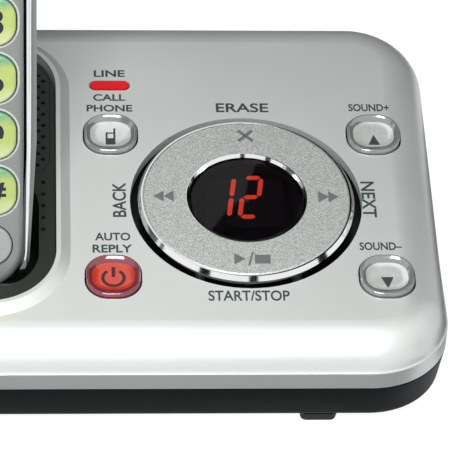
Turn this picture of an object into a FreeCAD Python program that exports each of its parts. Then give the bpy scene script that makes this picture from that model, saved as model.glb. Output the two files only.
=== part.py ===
"""Cordless answering machine: base with a sloping key panel, and a handset standing in its cradle.

Base frame: origin at the middle of the base's footprint on the table, X right, Y back, Z up, millimetres.
Panel frame: origin at the four-way key's centre on the panel's surface, u right, v up the slope, n outward.
Handset frame: origin at the middle of the handset's lower front edge, x right, y into the handset, z along it.
"""
import FreeCAD, Part
import math
import os

import Sketcher

SIZES = {
    # footprint, measured from the four-way key's centre and from the cradle
    "left_margin": 19.4,
    "cradle_to_ring": 38.0,
    "ring_to_side": 39.2,
    "ring_to_front": 39.4,
    "ring_to_back": 55.6,
    "panel_height": 24.9,
    "panel_tilt": 7.0,
    "corner_radius": 16.0,
    "edge_round": 9.0,
    "cover_wall": 2.2,
    "crease_height": 14.2,
    "crease_step": 0.25,
    "parting_gap": 0.3,
    # lower tray and feet
    "foot_height": 2.0,
    "foot_size": 7.8,
    "foot_side_inset": 21.9,
    "foot_end_inset": 1.7,
    "foot_draft": 12.0,
    "tray_height": 8.2,
    "tray_inset": 1.2,
    "tray_wall": 2.4,
    "tray_floor": 2.0,
    "tray_edge_round": 1.6,
    "label_width": 60.0,
    "label_length": 26.0,
    "label_recess": 0.4,
    # clearances
    "fit_gap": 0.3,
    "seat_gap": 0.05,
    "pin_gap": 0.05,
    # cradle
    "cradle_front": 27.6,
    "cradle_length": 72.3,
    "cradle_shoulder": 3.9,
    "cradle_corner": 13.5,
    "lip_width": 2.8,
    "lip_height": 1.4,
    "lip_crest": 0.9,
    "insert_drop": 0.9,
    "insert_flange": 1.4,
    "insert_thickness": 2.9,
    "well_side_gap": 0.45,
    "well_face_gap": 1.4,
    "well_corner": 8.0,
    "well_wall": 1.8,
    "well_floor": 2.0,
    "grille_margin": 1.3,
    "grille_back_margin": 5.6,
    "grille_corner": 5.0,
    "grille_thickness": 1.4,
    "grille_ledge": 2.2,
    "sound_hole": 0.45,
    "sound_column": 1.1,
    "sound_row": 3.2,
    "sound_margin": 0.7,
    "pit_depth": 1.2,
    "pit_reach": 15.4,
    # speaker under the grille
    "speaker_radius": 13.8,
    "speaker_depth": 7.0,
    "magnet_radius": 7.0,
    # four-way key
    "ring_hole": 23.3,
    "ring_radius": 20.75,
    "ring_trim_radius": 21.75,
    "liner_inner": 11.6,
    "liner_wall": 0.15,
    "liner_slope": 0.7,
    "ring_inner": 12.2,
    "ring_rise": 1.2,
    "ring_underside": 0.8,
    "ring_skirt": 1.75,
    "ring_skirt_depth": 2.4,
    "pivot_depth": 3.2,
    "pivot_pin": 0.7,
    "carrier_inner": 13.1,
    "carrier_outer": 15.3,
    "carrier_half_height": 1.4,
    "lug_inner": 15.6,
    "lug_outer": 16.9,
    "lug_width": 3.2,
    "lug_bottom": 4.5,
    "ring_stem_place": 18.4,
    "ring_stem_radius": 1.1,
    # display in the middle of the four-way key
    "holder_radius": 12.5,
    "holder_shoulder": 1.7,
    "holder_wall": 1.0,
    "lens_radius": 11.3,
    "lens_drop": 0.35,
    "lens_thickness": 0.85,
    "module_width": 15.4,
    "module_length": 13.0,
    "module_drop": 0.9,
    "digit_height": 11.6,
    "digit_width": 4.3,
    "digit_gap": 1.2,
    "digit_slant": 7.6,
    "digit_shift": 1.75,
    "digit_raise": 1.6,
    "segment_width": 0.95,
    "segment_gap": 0.25,
    "segment_rise": 0.2,
    # key board under the panel
    "board_thickness": 1.6,
    "key_board_depth": 7.4,
    "key_board_side": 33.2,
    "key_board_front": 27.2,
    "key_board_back": 38.0,
    "post_spread": 28.0,
    "post_front_spread": 14.0,
    "post_front": 23.0,
    "post_back": 26.0,
    "post_radius": 1.6,
    "switch_size": 6.0,
    "switch_top": 5.4,
    "switch_bore": 1.6,
    "switch_bore_depth": 1.5,
    # keys of the base
    "button_spread": 26.9,
    "button_up": 18.5,
    "button_down": 20.3,
    "button_width": 10.7,
    "button_length": 10.8,
    "button_corner": 4.4,
    "button_rise": 0.9,
    "button_edge": 0.7,
    "button_tab_width": 7.4,
    "button_tab": 0.75,
    "button_tab_thickness": 0.9,
    "button_stem": 1.2,
    "stem_reach": 5.7,
    "lamp_width": 7.9,
    "lamp_length": 2.3,
    "lamp_up": 32.7,
    "lamp_rise": 0.2,
    "lamp_flange": 0.7,
    # main board and what stands on it
    "standoff_radius": 2.6,
    "standoff_height": 1.5,
    "standoff_x": 50.0,
    "standoff_y": 30.0,
    "main_board_width": 112.0,
    "main_board_length": 72.0,
    "main_board_shift": 2.0,
    "shield_width": 26.0,
    "shield_length": 20.0,
    "shield_height": 3.0,
    "shield_x": 36.0,
    "shield_y": -20.0,
    "chip_size": 14.0,
    "chip_height": 1.4,
    "chip_x": 8.0,
    "chip_y": 4.0,
    "capacitor_radius": 4.0,
    "capacitor_height": 10.0,
    "capacitor_x": 8.0,
    "capacitor_y": 29.0,
    "capacitor_pitch": 9.5,
    # sockets in the rear wall
    "power_side": 24.0,
    "power_width": 9.0,
    "power_length": 12.0,
    "socket_height": 11.4,
    "power_axis": 14.4,
    "power_bore": 3.1,
    "power_bore_depth": 9.0,
    "power_pin": 1.0,
    "power_opening": 3.6,
    "line_side": 46.0,
    "line_width": 13.0,
    "line_length": 12.5,
    "line_axis": 14.2,
    "port_width": 9.8,
    "port_height": 6.8,
    "port_depth": 10.0,
    "port_frame": 0.4,
    # case screws
    "boss_radius": 2.8,
    "boss_side_inset": 14.0,
    "boss_back_inset": 12.5,
    "boss_left_inset": 11.0,
    "boss_front_inset": 11.5,
    "boss_middle_inset": 40.0,
    "boss_edge_inset": 8.0,
    "boss_foot": 6.1,
    "pilot_radius": 1.35,
    "pilot_depth": 9.0,
    "screw_radius": 1.3,
    "screw_length": 10.0,
    "screw_head_radius": 2.6,
    "screw_head": 1.6,
    "counterbore": 1.8,
    "pillar_radius": 4.2,
    # handset
    "handset_width": 48.0,
    "handset_length": 156.5,
    "handset_depth": 24.0,
    "handset_lean": 20.0,
    "handset_setback": 6.15,
    "handset_sink": 3.2,
    "handset_taper": 1.7,
    "handset_taper_height": 29.0,
    "handset_corner": 10.0,
    "foot_corner": 5.5,
    "handset_back_round": 5.0,
    "handset_wall": 1.8,
    "face_inset": 2.5,
    "face_taper": 0.4,
    "face_foot_corner": 8.0,
    "face_low": 0.5,
    "face_round": 1.6,
    "face_wall": 1.6,
    "face_side_wall": 1.0,
    "face_depth": 6.4,
    "trim_inset": 1.0,
    "trim_width": 0.9,
    "trim_taper": 0.9,
    "trim_low": 0.25,
    "trim_front": 3.0,
    # handset keys
    "key_width": 11.8,
    "key_length": 9.6,
    "key_corner": 3.9,
    "key_side_margin": 1.4,
    "key_pitch_z": 11.4,
    "key_lowest": 21.1,
    "key_gap": 0.2,
    "key_rise": 0.7,
    "key_edge": 0.6,
    "key_flange": 0.4,
    "key_flange_thickness": 0.8,
    "round_key_width": 11.0,
    "round_key_length": 8.4,
    "round_key_margin": 2.3,
    "round_key_place": 9.9,
    "call_key_place": 67.6,
    "soft_key_place": 79.6,
    "soft_key_length": 6.6,
    "soft_key_corner": 3.0,
    "navigation_place": 74.0,
    "navigation_width": 14.0,
    "navigation_length": 14.6,
    # handset display, sound and inner pieces
    "window_margin": 8.25,
    "window_side": 6.0,
    "window_corner": 3.0,
    "window_thickness": 1.0,
    "window_ledge": 1.6,
    "lcd_margin": 2.5,
    "earpiece_drop": 16.0,
    "earpiece_radius": 9.0,
    "earpiece_slot_width": 13.0,
    "earpiece_slot_length": 1.4,
    "earpiece_slot_pitch": 3.2,
    "mouth_place": 5.0,
    "mouth_hole": 0.6,
    "mouthpiece_radius": 1.4,
    "handset_board_front": 5.0,
    "handset_board_thickness": 1.2,
    "handset_board_margin": 1.8,
    "cell_radius": 5.25,
    "cell_length": 44.5,
    "cell_spread": 5.45,
    "bay_half_width": 13.0,
    "door_side": 3.0,
    "door_length": 62.0,
    "door_bottom": 22.0,
    "door_thickness": 1.0,
    "door_travel": 10.0,
    "door_corner": 4.0,
    "door_sink": 0.1,
    "contact_spread": 9.0,
    "contact_width": 5.0,
    "contact_length": 6.0,
    "contact_thickness": 0.5,
    "contact_place": 15.0,
    "contact_gap": 0.1,
    "spring_width": 3.0,
    "spring_length": 4.0,
    "spring_foot": 1.0,
}

doc = FreeCAD.newDocument("AnsweringMachine")
sheet = doc.addObject("Spreadsheet::Sheet", "sizes")
for row, (name, size) in enumerate(SIZES.items(), start=1):
    sheet.set(f"A{row}", name)
    sheet.set(f"B{row}", str(size))
    sheet.setAlias(f"B{row}", name)
doc.recompute()


def S(formula):
    """Spell a formula of size names out as an expression on the sheet."""
    spelled = ""
    word = ""
    for letter in formula + " ":
        if letter.isalnum() or letter == "_":
            word += letter
            continue
        spelled += f"sizes.{word}" if word in SIZES else word
        word = ""
        spelled += letter
    return spelled.strip()


def value(formula):
    """Number that a formula of size names comes to."""
    return float(sheet.evalExpression(S(formula)))


# --- overall sizes and frames, as formulas -----------------------------------------------------------------

CRADLE_WIDTH = "(handset_width+2*cradle_shoulder)"
WIDTH = f"(left_margin+{CRADLE_WIDTH}+cradle_to_ring+ring_to_side)"
DEPTH = "(ring_to_front+ring_to_back)"
RING_X = f"({WIDTH}/2-ring_to_side)"
RING_Y = f"({DEPTH}/2-ring_to_back)"
CRADLE_U = f"(-cradle_to_ring-{CRADLE_WIDTH}/2)"
CRADLE_V = "(cradle_length/2-cradle_front)"
CRADLE_BACK = "(cradle_length-cradle_front)"
TRAY_TOP = "(foot_height+tray_height)"
COVER_BOTTOM = f"({TRAY_TOP}+parting_gap)"
FLOOR_TOP = "(foot_height+tray_floor)"
BOARD_BOTTOM = f"({FLOOR_TOP}+standoff_height+seat_gap)"
BOARD_TOP = f"({BOARD_BOTTOM}+board_thickness)"
STAND_Z = f"({BOARD_TOP}+seat_gap)"
KEY_BOARD_TOP = "(-key_board_depth)"
LEAN = "(handset_lean+panel_tilt)"


def panel_point(u, v, n):
    """Base-frame coordinates, as formulas, of a point given in the panel frame."""
    across = f"({RING_X}+({u}))"
    back = f"({RING_Y}+({v})*cos(panel_tilt)-({n})*sin(panel_tilt))"
    up = f"(panel_height+({v})*sin(panel_tilt)+({n})*cos(panel_tilt))"
    return across, back, up


HANDSET_ORIGIN = panel_point(CRADLE_U, "handset_setback-cradle_front", "-handset_sink")


# --- building blocks ---------------------------------------------------------------------------------------

def new_body(label):
    body = doc.addObject("PartDesign::Body", label)
    body.Label = label
    return body


def set_frame(thing, origin, angle, prop="Placement"):
    """Bind a placement: origin by three formulas, turned about X by a formula in degrees."""
    turned = FreeCAD.Rotation(FreeCAD.Vector(1, 0, 0), 1)
    setattr(thing, prop, FreeCAD.Placement(FreeCAD.Vector(0, 0, 0), turned))
    for axis, formula in zip("xyz", origin):
        thing.setExpression(f"{prop}.Base.{axis}", S(formula))
    thing.setExpression(f"{prop}.Rotation.Angle", S(angle))


def on_panel(thing):
    set_frame(thing, panel_point("0", "0", "0"), "panel_tilt")


def on_handset(thing):
    set_frame(thing, HANDSET_ORIGIN, "-handset_lean")


def new_sketch(body, plane, x, y, out, tilt=None):
    """Sketch on one of the body's own planes, moved by x, y in it and by out along its normal."""
    sketch = body.newObject("Sketcher::SketchObject", "Sketch")
    face = [item for item in body.Origin.OriginFeatures if item.Role == plane][0]
    sketch.AttachmentSupport = [(face, "")]
    sketch.MapMode = "FlatFace"
    if tilt is not None:
        set_frame(sketch, (x, y, out), tilt, "AttachmentOffset")
        return sketch
    for axis, formula in zip("xyz", (x, y, out)):
        sketch.setExpression(f"AttachmentOffset.Base.{axis}", S(formula))
    return sketch


def constrain(sketch, kind, first, formula):
    """Add a sized constraint and bind its size."""
    index = sketch.addConstraint(Sketcher.Constraint(kind, *first, value(formula)))
    sketch.setExpression(f"Constraints[{index}]", S(formula))


def polygon(points):
    """Closed outline through corners given as pairs of formulas."""
    def draw(sketch):
        first = sketch.GeometryCount
        count = len(points)
        corners = [FreeCAD.Vector(value(x), value(y), 0) for x, y in points]
        for i in range(count):
            sketch.addGeometry(Part.LineSegment(corners[i], corners[(i + 1) % count]), False)
        for i in range(count):
            following = first + (i + 1) % count
            sketch.addConstraint(Sketcher.Constraint("Coincident", first + i, 2, following, 1))
        for i, (x, y) in enumerate(points):
            constrain(sketch, "DistanceX", (first + i, 1), x)
            constrain(sketch, "DistanceY", (first + i, 1), y)
    return draw


def rounded(width, length, radius):
    """Rectangle with rounded corners about the sketch's own origin."""
    def draw(sketch):
        half_x = value(width) / 2
        half_y = value(length) / 2
        r = value(radius)
        first = sketch.GeometryCount
        axis = FreeCAD.Vector(0, 0, 1)
        middles = ((half_x - r, half_y - r), (r - half_x, half_y - r),
                   (r - half_x, r - half_y), (half_x - r, r - half_y))
        for i, (x, y) in enumerate(middles):
            circle_at = Part.Circle(FreeCAD.Vector(x, y, 0), axis, r)
            arc = Part.ArcOfCircle(circle_at, i * math.pi / 2, (i + 1) * math.pi / 2)
            sketch.addGeometry(arc, False)
        for i in range(4):
            start = sketch.getPoint(first + i, 2)
            end = sketch.getPoint(first + (i + 1) % 4, 1)
            sketch.addGeometry(Part.LineSegment(start, end), False)
        for i in range(4):
            line = first + 4 + i
            sketch.addConstraint(Sketcher.Constraint("Tangent", first + i, 2, line, 1))
            sketch.addConstraint(Sketcher.Constraint("Tangent", line, 2, first + (i + 1) % 4, 1))
        for line, way in ((4, "Horizontal"), (5, "Vertical"), (6, "Horizontal"), (7, "Vertical")):
            sketch.addConstraint(Sketcher.Constraint(way, first + line))
        for i in range(1, 4):
            sketch.addConstraint(Sketcher.Constraint("Equal", first, first + i))
        sketch.addConstraint(Sketcher.Constraint("Symmetric", first, 3, first + 2, 3, -1, 1))
        constrain(sketch, "Radius", (first,), radius)
        constrain(sketch, "DistanceX", (-1, 1, first, 3), f"({width})/2-({radius})")
        constrain(sketch, "DistanceY", (-1, 1, first, 3), f"({length})/2-({radius})")
    return draw


def circle(radius, x="0", y="0"):
    """Circle of a radius about a point of the sketch."""
    def draw(sketch):
        middle = FreeCAD.Vector(value(x), value(y), 0)
        index = sketch.addGeometry(Part.Circle(middle, FreeCAD.Vector(0, 0, 1), value(radius)), False)
        constrain(sketch, "Radius", (index,), radius)
        if x == "0" and y == "0":
            sketch.addConstraint(Sketcher.Constraint("Coincident", index, 3, -1, 1))
            return
        constrain(sketch, "DistanceX", (index, 3), x)
        constrain(sketch, "DistanceY", (index, 3), y)
    return draw


def several(*outlines):
    """Several outlines in one sketch."""
    def draw(sketch):
        for outline in outlines:
            outline(sketch)
    return draw


def add(body, outline, low, high, at=("0", "0"), plane="XY_Plane", taper=None):
    """Pad an outline between two heights along the plane's normal."""
    sketch = new_sketch(body, plane, at[0], at[1], low)
    outline(sketch)
    pad = body.newObject("PartDesign::Pad", "Pad")
    pad.Profile = sketch
    pad.setExpression("Length", S(f"({high})-({low})"))
    if taper:
        pad.setExpression("TaperAngle", S(taper))
    return pad


def cut(body, outline, low, high, at=("0", "0"), plane="XY_Plane"):
    """Pocket an outline between two heights along the plane's normal."""
    sketch = new_sketch(body, plane, at[0], at[1], high)
    outline(sketch)
    pocket = body.newObject("PartDesign::Pocket", "Pocket")
    pocket.Profile = sketch
    pocket.setExpression("Length", S(f"({high})-({low})"))
    return pocket


def add_on_slope(body, outline, u, v, low, high):
    """Pad in a body of the base frame, square to the panel."""
    sketch = new_sketch(body, "XY_Plane", *panel_point(u, v, low), tilt="panel_tilt")
    outline(sketch)
    pad = body.newObject("PartDesign::Pad", "Pad")
    pad.Profile = sketch
    pad.setExpression("Length", S(f"({high})-({low})"))
    return pad


def cut_on_slope(body, outline, u, v, low, high):
    """Pocket in a body of the base frame, square to the panel."""
    sketch = new_sketch(body, "XY_Plane", *panel_point(u, v, high), tilt="panel_tilt")
    outline(sketch)
    pocket = body.newObject("PartDesign::Pocket", "Pocket")
    pocket.Profile = sketch
    pocket.setExpression("Length", S(f"({high})-({low})"))
    return pocket


def spin(body, points, groove=False):
    """Turn a half section, given as radius and height, about the body's Z axis."""
    sketch = new_sketch(body, "XZ_Plane", "0", "0", "0")
    polygon(points)(sketch)
    kind = "Groove" if groove else "Revolution"
    turned = body.newObject(f"PartDesign::{kind}", kind)
    turned.Profile = sketch
    turned.ReferenceAxis = (sketch, ["V_Axis"])
    turned.Angle = 360
    return turned


def edges_of(shape, wanted):
    return [f"Edge{i}" for i, edge in enumerate(shape.Edges, start=1) if wanted(edge)]


def along(axis):
    """Test for a straight edge parallel to an axis."""
    def wanted(edge):
        ends = [vertex.Point for vertex in edge.Vertexes]
        if len(ends) != 2 or not isinstance(edge.Curve, Part.Line):
            return False
        return abs((ends[1] - ends[0]).normalize().dot(axis)) > 0.999
    return wanted


def at_level(axis, formula):
    """Test for an edge whose ends both lie at one coordinate along an axis."""
    level = value(formula)

    def wanted(edge):
        return all(abs(vertex.Point.dot(axis) - level) < 0.01 for vertex in edge.Vertexes)
    return wanted


def dress(body, kind, base, names, size):
    """Fillet or chamfer of the named edges."""
    feature = body.newObject(f"PartDesign::{kind}", kind)
    feature.Base = (base, names)
    feature.setExpression("Radius" if kind == "Fillet" else "Size", S(size))
    return feature


def boolean(kind, label, first, second):
    """Part boolean of two objects, kept as the sub-part of that label."""
    result = doc.addObject(f"Part::{kind}", label)
    result.Label = label
    result.Base = first
    result.Tool = second
    return result


X = FreeCAD.Vector(1, 0, 0)
Y = FreeCAD.Vector(0, 1, 0)
Z = FreeCAD.Vector(0, 0, 1)
pieces = []

# --- top cover ---------------------------------------------------------------------------------------------

tilt = math.radians(value("panel_tilt"))
normal = FreeCAD.Vector(0, -math.sin(tilt), math.cos(tilt))
panel_middle = FreeCAD.Vector(value(RING_X), value(RING_Y), value("panel_height"))


def on_slope(drop):
    """Test for an edge whose ends lie on the panel's plane lowered by a drop."""
    depth = value(drop)

    def wanted(edge):
        return all(abs((vertex.Point - panel_middle).dot(normal) + depth) < 0.01 for vertex in edge.Vertexes)
    return wanted


def sloping_block(body, inset, drop, low):
    """Block under the sloping panel with rounded corners and edges, drawn in by an inset and a drop."""
    side = new_sketch(body, "YZ_Plane", "0", "0", "0")
    fall = f"({drop})/cos(panel_tilt)"
    polygon([
        (f"({inset})-{DEPTH}/2", low),
        (f"{DEPTH}/2-({inset})", low),
        (f"{DEPTH}/2-({inset})", f"{SLOPE_BACK}-({inset})*tan(panel_tilt)-{fall}"),
        (f"({inset})-{DEPTH}/2", f"{SLOPE_FRONT}+({inset})*tan(panel_tilt)-{fall}"),
    ])(side)
    block = body.newObject("PartDesign::Pad", "Pad")
    block.Profile = side
    block.Midplane = True
    block.setExpression("Length", S(f"{WIDTH}-2*({inset})"))
    doc.recompute()
    block = dress(body, "Fillet", block, edges_of(block.Shape, along(Z)), f"corner_radius-({inset})")
    doc.recompute()
    dress(body, "Fillet", block, edges_of(block.Shape, on_slope(drop)), f"edge_round-({drop})")


cover = new_body("top_cover")
BLOCK_LOW = "(crease_height-6)"
SLOPE_FRONT = f"(panel_height+(-{DEPTH}/2-{RING_Y})*tan(panel_tilt))"
SLOPE_BACK = f"(panel_height+({DEPTH}/2-{RING_Y})*tan(panel_tilt))"
sloping_block(cover, "crease_step", "0", BLOCK_LOW)
cut(cover, rounded(f"{WIDTH}+4", f"{DEPTH}+4", "corner_radius"), f"{BLOCK_LOW}-1", "crease_height")
cover_room = new_body("CoverRoom")
sloping_block(cover_room, "crease_step+cover_wall", "cover_wall", f"{BLOCK_LOW}-1")
emptied = cover.newObject("PartDesign::Boolean", "Boolean")
emptied.setObjects([cover_room])
emptied.Type = "Cut"
INNER_WIDTH = f"({WIDTH}-2*crease_step-2*cover_wall)"
INNER_DEPTH = f"({DEPTH}-2*crease_step-2*cover_wall)"
INNER_CORNER = "(corner_radius-crease_step-cover_wall)"
band = several(rounded(WIDTH, DEPTH, "corner_radius"), rounded(INNER_WIDTH, INNER_DEPTH, INNER_CORNER))
add(cover, band, COVER_BOTTOM, "crease_height")

# raised lip round the cradle, highest at its inner edge
lip = add_on_slope(
    cover, rounded(f"{CRADLE_WIDTH}+2*lip_width", "cradle_length+2*lip_width", "cradle_corner+lip_width"),
    CRADLE_U, CRADLE_V, "-cover_wall/2", "lip_height")
doc.recompute()


slope = cover.newObject("PartDesign::Chamfer", "Chamfer")
slope.Base = (lip, edges_of(lip.Shape, on_slope("-lip_height")))
slope.ChamferType = "Two distances"
slope.setExpression("Size", S("lip_height-0.05"))
slope.setExpression("Size2", S("lip_width-lip_crest"))
cradle_hole = rounded(CRADLE_WIDTH, "cradle_length", "cradle_corner")
cut_on_slope(cover, cradle_hole, CRADLE_U, CRADLE_V, "-cover_wall*3", "lip_height+2")

# holes for the four-way key, the four keys and the lamp
cut_on_slope(cover, circle("ring_hole"), "0", "0", "-cover_wall*2", "1")
key_hole = rounded("button_width+2*fit_gap", "button_length+2*fit_gap", "button_corner+fit_gap")
BUTTONS = {
    "locate_button": ("-button_spread", "button_up"),
    "power_button": ("-button_spread", "-button_down"),
    "volume_up_button": ("button_spread", "button_up"),
    "volume_down_button": ("button_spread", "-button_down"),
}
for u, v in BUTTONS.values():
    cut_on_slope(cover, key_hole, u, v, "-cover_wall*2", "1")
lamp_outline = rounded("lamp_width+2*fit_gap", "lamp_length+2*fit_gap", "lamp_length/2+fit_gap-0.05")
cut_on_slope(cover, lamp_outline, "-button_spread", "lamp_up", "-cover_wall*2", "1")

# posts that carry the key board
for u, v in (("post_spread", "0"), ("post_front_spread", "-post_front"), ("post_front_spread", "post_back")):
    for way in ("-", ""):
        add_on_slope(cover, circle("post_radius"), f"{way}{u}", v, f"{KEY_BOARD_TOP}+seat_gap",
                     "-cover_wall/2")

# bosses for the case screws, each with its pilot hole
BOSSES = [
    (f"{WIDTH}/2-boss_side_inset", f"{DEPTH}/2-boss_back_inset"),
    (f"boss_side_inset-{WIDTH}/2", f"{DEPTH}/2-boss_back_inset"),
    (f"boss_left_inset-{WIDTH}/2", f"boss_front_inset-{DEPTH}/2"),
    (f"{WIDTH}/2-boss_middle_inset", f"boss_edge_inset-{DEPTH}/2"),
]
for x, y in BOSSES:
    roof = f"(panel_height+({y}-{RING_Y})*tan(panel_tilt)-cover_wall/2-0.1)"
    add(cover, circle("boss_radius"), "boss_foot", roof, at=(x, y))
    cut(cover, circle("pilot_radius"), "boss_foot-1", "boss_foot+pilot_depth", at=(x, y))

# openings of the two sockets in the rear wall
POWER_X = f"({WIDTH}/2-power_side)"
LINE_X = f"({WIDTH}/2-line_side)"
BACK_INNER = f"({INNER_DEPTH}/2)"
cut(cover, circle("power_opening"), f"-{DEPTH}/2-1", f"-{BACK_INNER}+2", at=(POWER_X, "power_axis"),
    plane="XZ_Plane")
port_outline = polygon([
    ("-port_width/2-port_frame", f"{COVER_BOTTOM}-1"),
    ("port_width/2+port_frame", f"{COVER_BOTTOM}-1"),
    ("port_width/2+port_frame", "line_axis+port_height/2+port_frame"),
    ("-port_width/2-port_frame", "line_axis+port_height/2+port_frame"),
])
cut(cover, port_outline, f"-{DEPTH}/2-1", f"-{BACK_INNER}+2", at=(LINE_X, "0"), plane="XZ_Plane")
pieces.append(cover)

# --- lower tray, feet and screws ---------------------------------------------------------------------------

tray = new_body("base_tray")
draft = "atan(tray_inset/tray_height)"
shell = add(tray, rounded(f"{WIDTH}-2*tray_inset", f"{DEPTH}-2*tray_inset", "corner_radius-tray_inset"),
            "foot_height", TRAY_TOP, taper=draft)
doc.recompute()
dress(tray, "Fillet", shell, edges_of(shell.Shape, at_level(Z, "foot_height")), "tray_edge_round")
cut(tray, rounded(f"{WIDTH}-2*tray_inset-2*tray_wall", f"{DEPTH}-2*tray_inset-2*tray_wall",
                  "corner_radius-tray_inset-tray_wall"), FLOOR_TOP, f"{TRAY_TOP}+1")
rim_outline = several(
    rounded(f"{INNER_WIDTH}-2*fit_gap", f"{INNER_DEPTH}-2*fit_gap", f"{INNER_CORNER}-fit_gap"),
    rounded(f"{INNER_WIDTH}-2*fit_gap-2*tray_wall", f"{INNER_DEPTH}-2*fit_gap-2*tray_wall",
            f"{INNER_CORNER}-fit_gap-tray_wall"))
add(tray, rim_outline, f"{TRAY_TOP}-1.5", f"{TRAY_TOP}+1.8")
cut(tray, rounded("line_width+1", "line_length*2", "1"), BOARD_TOP, f"{TRAY_TOP}+4",
    at=(LINE_X, f"{BACK_INNER}-line_length+1.5"))
cut(tray, rounded("power_width+1", "power_length*2", "1"), BOARD_TOP, f"{TRAY_TOP}+4",
    at=(POWER_X, f"{BACK_INNER}-power_length+1.5"))
for x, y in BOSSES:
    add(tray, circle("pillar_radius"), f"{FLOOR_TOP}-0.5", "boss_foot-seat_gap", at=(x, y))
    cut(tray, circle("screw_radius+fit_gap"), "foot_height-1", "boss_foot+1", at=(x, y))
    cut(tray, circle("screw_head_radius+fit_gap"), "foot_height-1", "foot_height+counterbore", at=(x, y))
for x in ("-standoff_x", "standoff_x"):
    for y in ("-standoff_y", "standoff_y"):
        add(tray, circle("standoff_radius"), f"{FLOOR_TOP}-0.5", f"{FLOOR_TOP}+standoff_height", at=(x, y))
cut(tray, rounded("label_width", "label_length", "2"), "foot_height-1", "foot_height+label_recess")
pieces.append(tray)

feet = []
FOOT_X = f"({WIDTH}/2-foot_side_inset-foot_size/2)"
FOOT_Y = f"({DEPTH}/2-foot_end_inset-foot_size/2)"
for name, x, y in (("Foot1", FOOT_X, f"-{FOOT_Y}"), ("Foot2", FOOT_X, FOOT_Y),
                   ("Foot3", f"-{FOOT_X}", f"-{FOOT_Y}"), ("Foot4", f"-{FOOT_X}", FOOT_Y)):
    foot = new_body(name)
    narrow = "(foot_size-2*(foot_height-seat_gap)*tan(foot_draft))"
    add(foot, rounded(narrow, narrow, "1.2"), "0", "foot_height-seat_gap", at=(x, y), taper="foot_draft")
    feet.append(foot)
rubber_feet = doc.addObject("Part::Compound", "rubber_feet")
rubber_feet.Label = "rubber_feet"
rubber_feet.Links = feet
pieces.append(rubber_feet)

screws = []
for number, (x, y) in enumerate(BOSSES, start=1):
    screw = new_body(f"Screw{number}")
    HEAD_TOP = "(foot_height+counterbore-seat_gap)"
    add(screw, circle("screw_head_radius"), f"{HEAD_TOP}-screw_head", HEAD_TOP, at=(x, y))
    add(screw, circle("screw_radius"), HEAD_TOP, f"{HEAD_TOP}+screw_length", at=(x, y))
    cross = several(polygon([("-0.4", "-1.6"), ("0.4", "-1.6"), ("0.4", "1.6"), ("-0.4", "1.6")]))
    cut(screw, cross, f"{HEAD_TOP}-screw_head-1", f"{HEAD_TOP}-screw_head+0.8", at=(x, y))
    screws.append(screw)
case_screws = doc.addObject("Part::Compound", "case_screws")
case_screws.Label = "case_screws"
case_screws.Links = screws
pieces.append(case_screws)

# --- cradle insert: plate with a flange, and the pocket that the handset stands in -------------------------

plate = new_body("InsertPlate")
INSERT_TOP = "(-insert_drop)"
INSERT_LOW = "(-insert_drop-insert_thickness)"
add(plate, rounded(f"{CRADLE_WIDTH}-2*fit_gap", "cradle_length-2*fit_gap", "cradle_corner-fit_gap"),
    INSERT_LOW, INSERT_TOP, at=(CRADLE_U, CRADLE_V))
add(plate, rounded(f"{CRADLE_WIDTH}+2*insert_flange", "cradle_length+2*insert_flange",
                   "cradle_corner+insert_flange"), INSERT_LOW, "-cover_wall-seat_gap",
    at=(CRADLE_U, CRADLE_V))

# perforated plate behind the pocket, let into the insert on a ledge; its pattern runs on beside the pocket
POCKET_BACK = ("(handset_setback-cradle_front+((handset_depth+well_face_gap)"
               "-handset_sink*sin(handset_lean+panel_tilt))/cos(handset_lean+panel_tilt))")
GRILLE_LOW_V = f"({POCKET_BACK}+well_wall+0.9)"
GRILLE_HIGH_V = f"({CRADLE_BACK}-grille_back_margin)"
GRILLE_LENGTH = f"({GRILLE_HIGH_V}-{GRILLE_LOW_V})"
GRILLE_V = f"(({GRILLE_HIGH_V}+{GRILLE_LOW_V})/2)"
GRILLE_WIDTH = f"({CRADLE_WIDTH}-2*grille_margin)"
pattern_half_width = value(f"{GRILLE_WIDTH}/2-sound_margin")
pattern_half_length = value(f"{GRILLE_LENGTH}/2-sound_margin")
columns = int(pattern_half_width / value("sound_column"))


def sound_holes(column, low, high):
    """Holes of one column of the pattern between two heights about the plate's middle."""
    holes = []
    row_pitch = value("sound_row")
    shift = (column % 2) / 2
    for row in range(math.ceil(low / row_pitch - shift), math.floor(high / row_pitch - shift) + 1):
        place = FreeCAD.Vector(column * value("sound_column"), (row + shift) * row_pitch, 0)
        holes.append(Part.Circle(place, Z, value("sound_hole")))
    return holes


pits_high = value(f"-{GRILLE_LENGTH}/2-sound_margin")
pits = new_sketch(plate, "XY_Plane", CRADLE_U, GRILLE_V, INSERT_TOP)
for column in (-columns, columns):
    pits.addGeometry(sound_holes(column, pits_high - value("pit_reach"), pits_high), False)
pitted = plate.newObject("PartDesign::Pocket", "Pocket")
pitted.Profile = pits
pitted.setExpression("Length", S("pit_depth"))
on_panel(plate)

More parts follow.
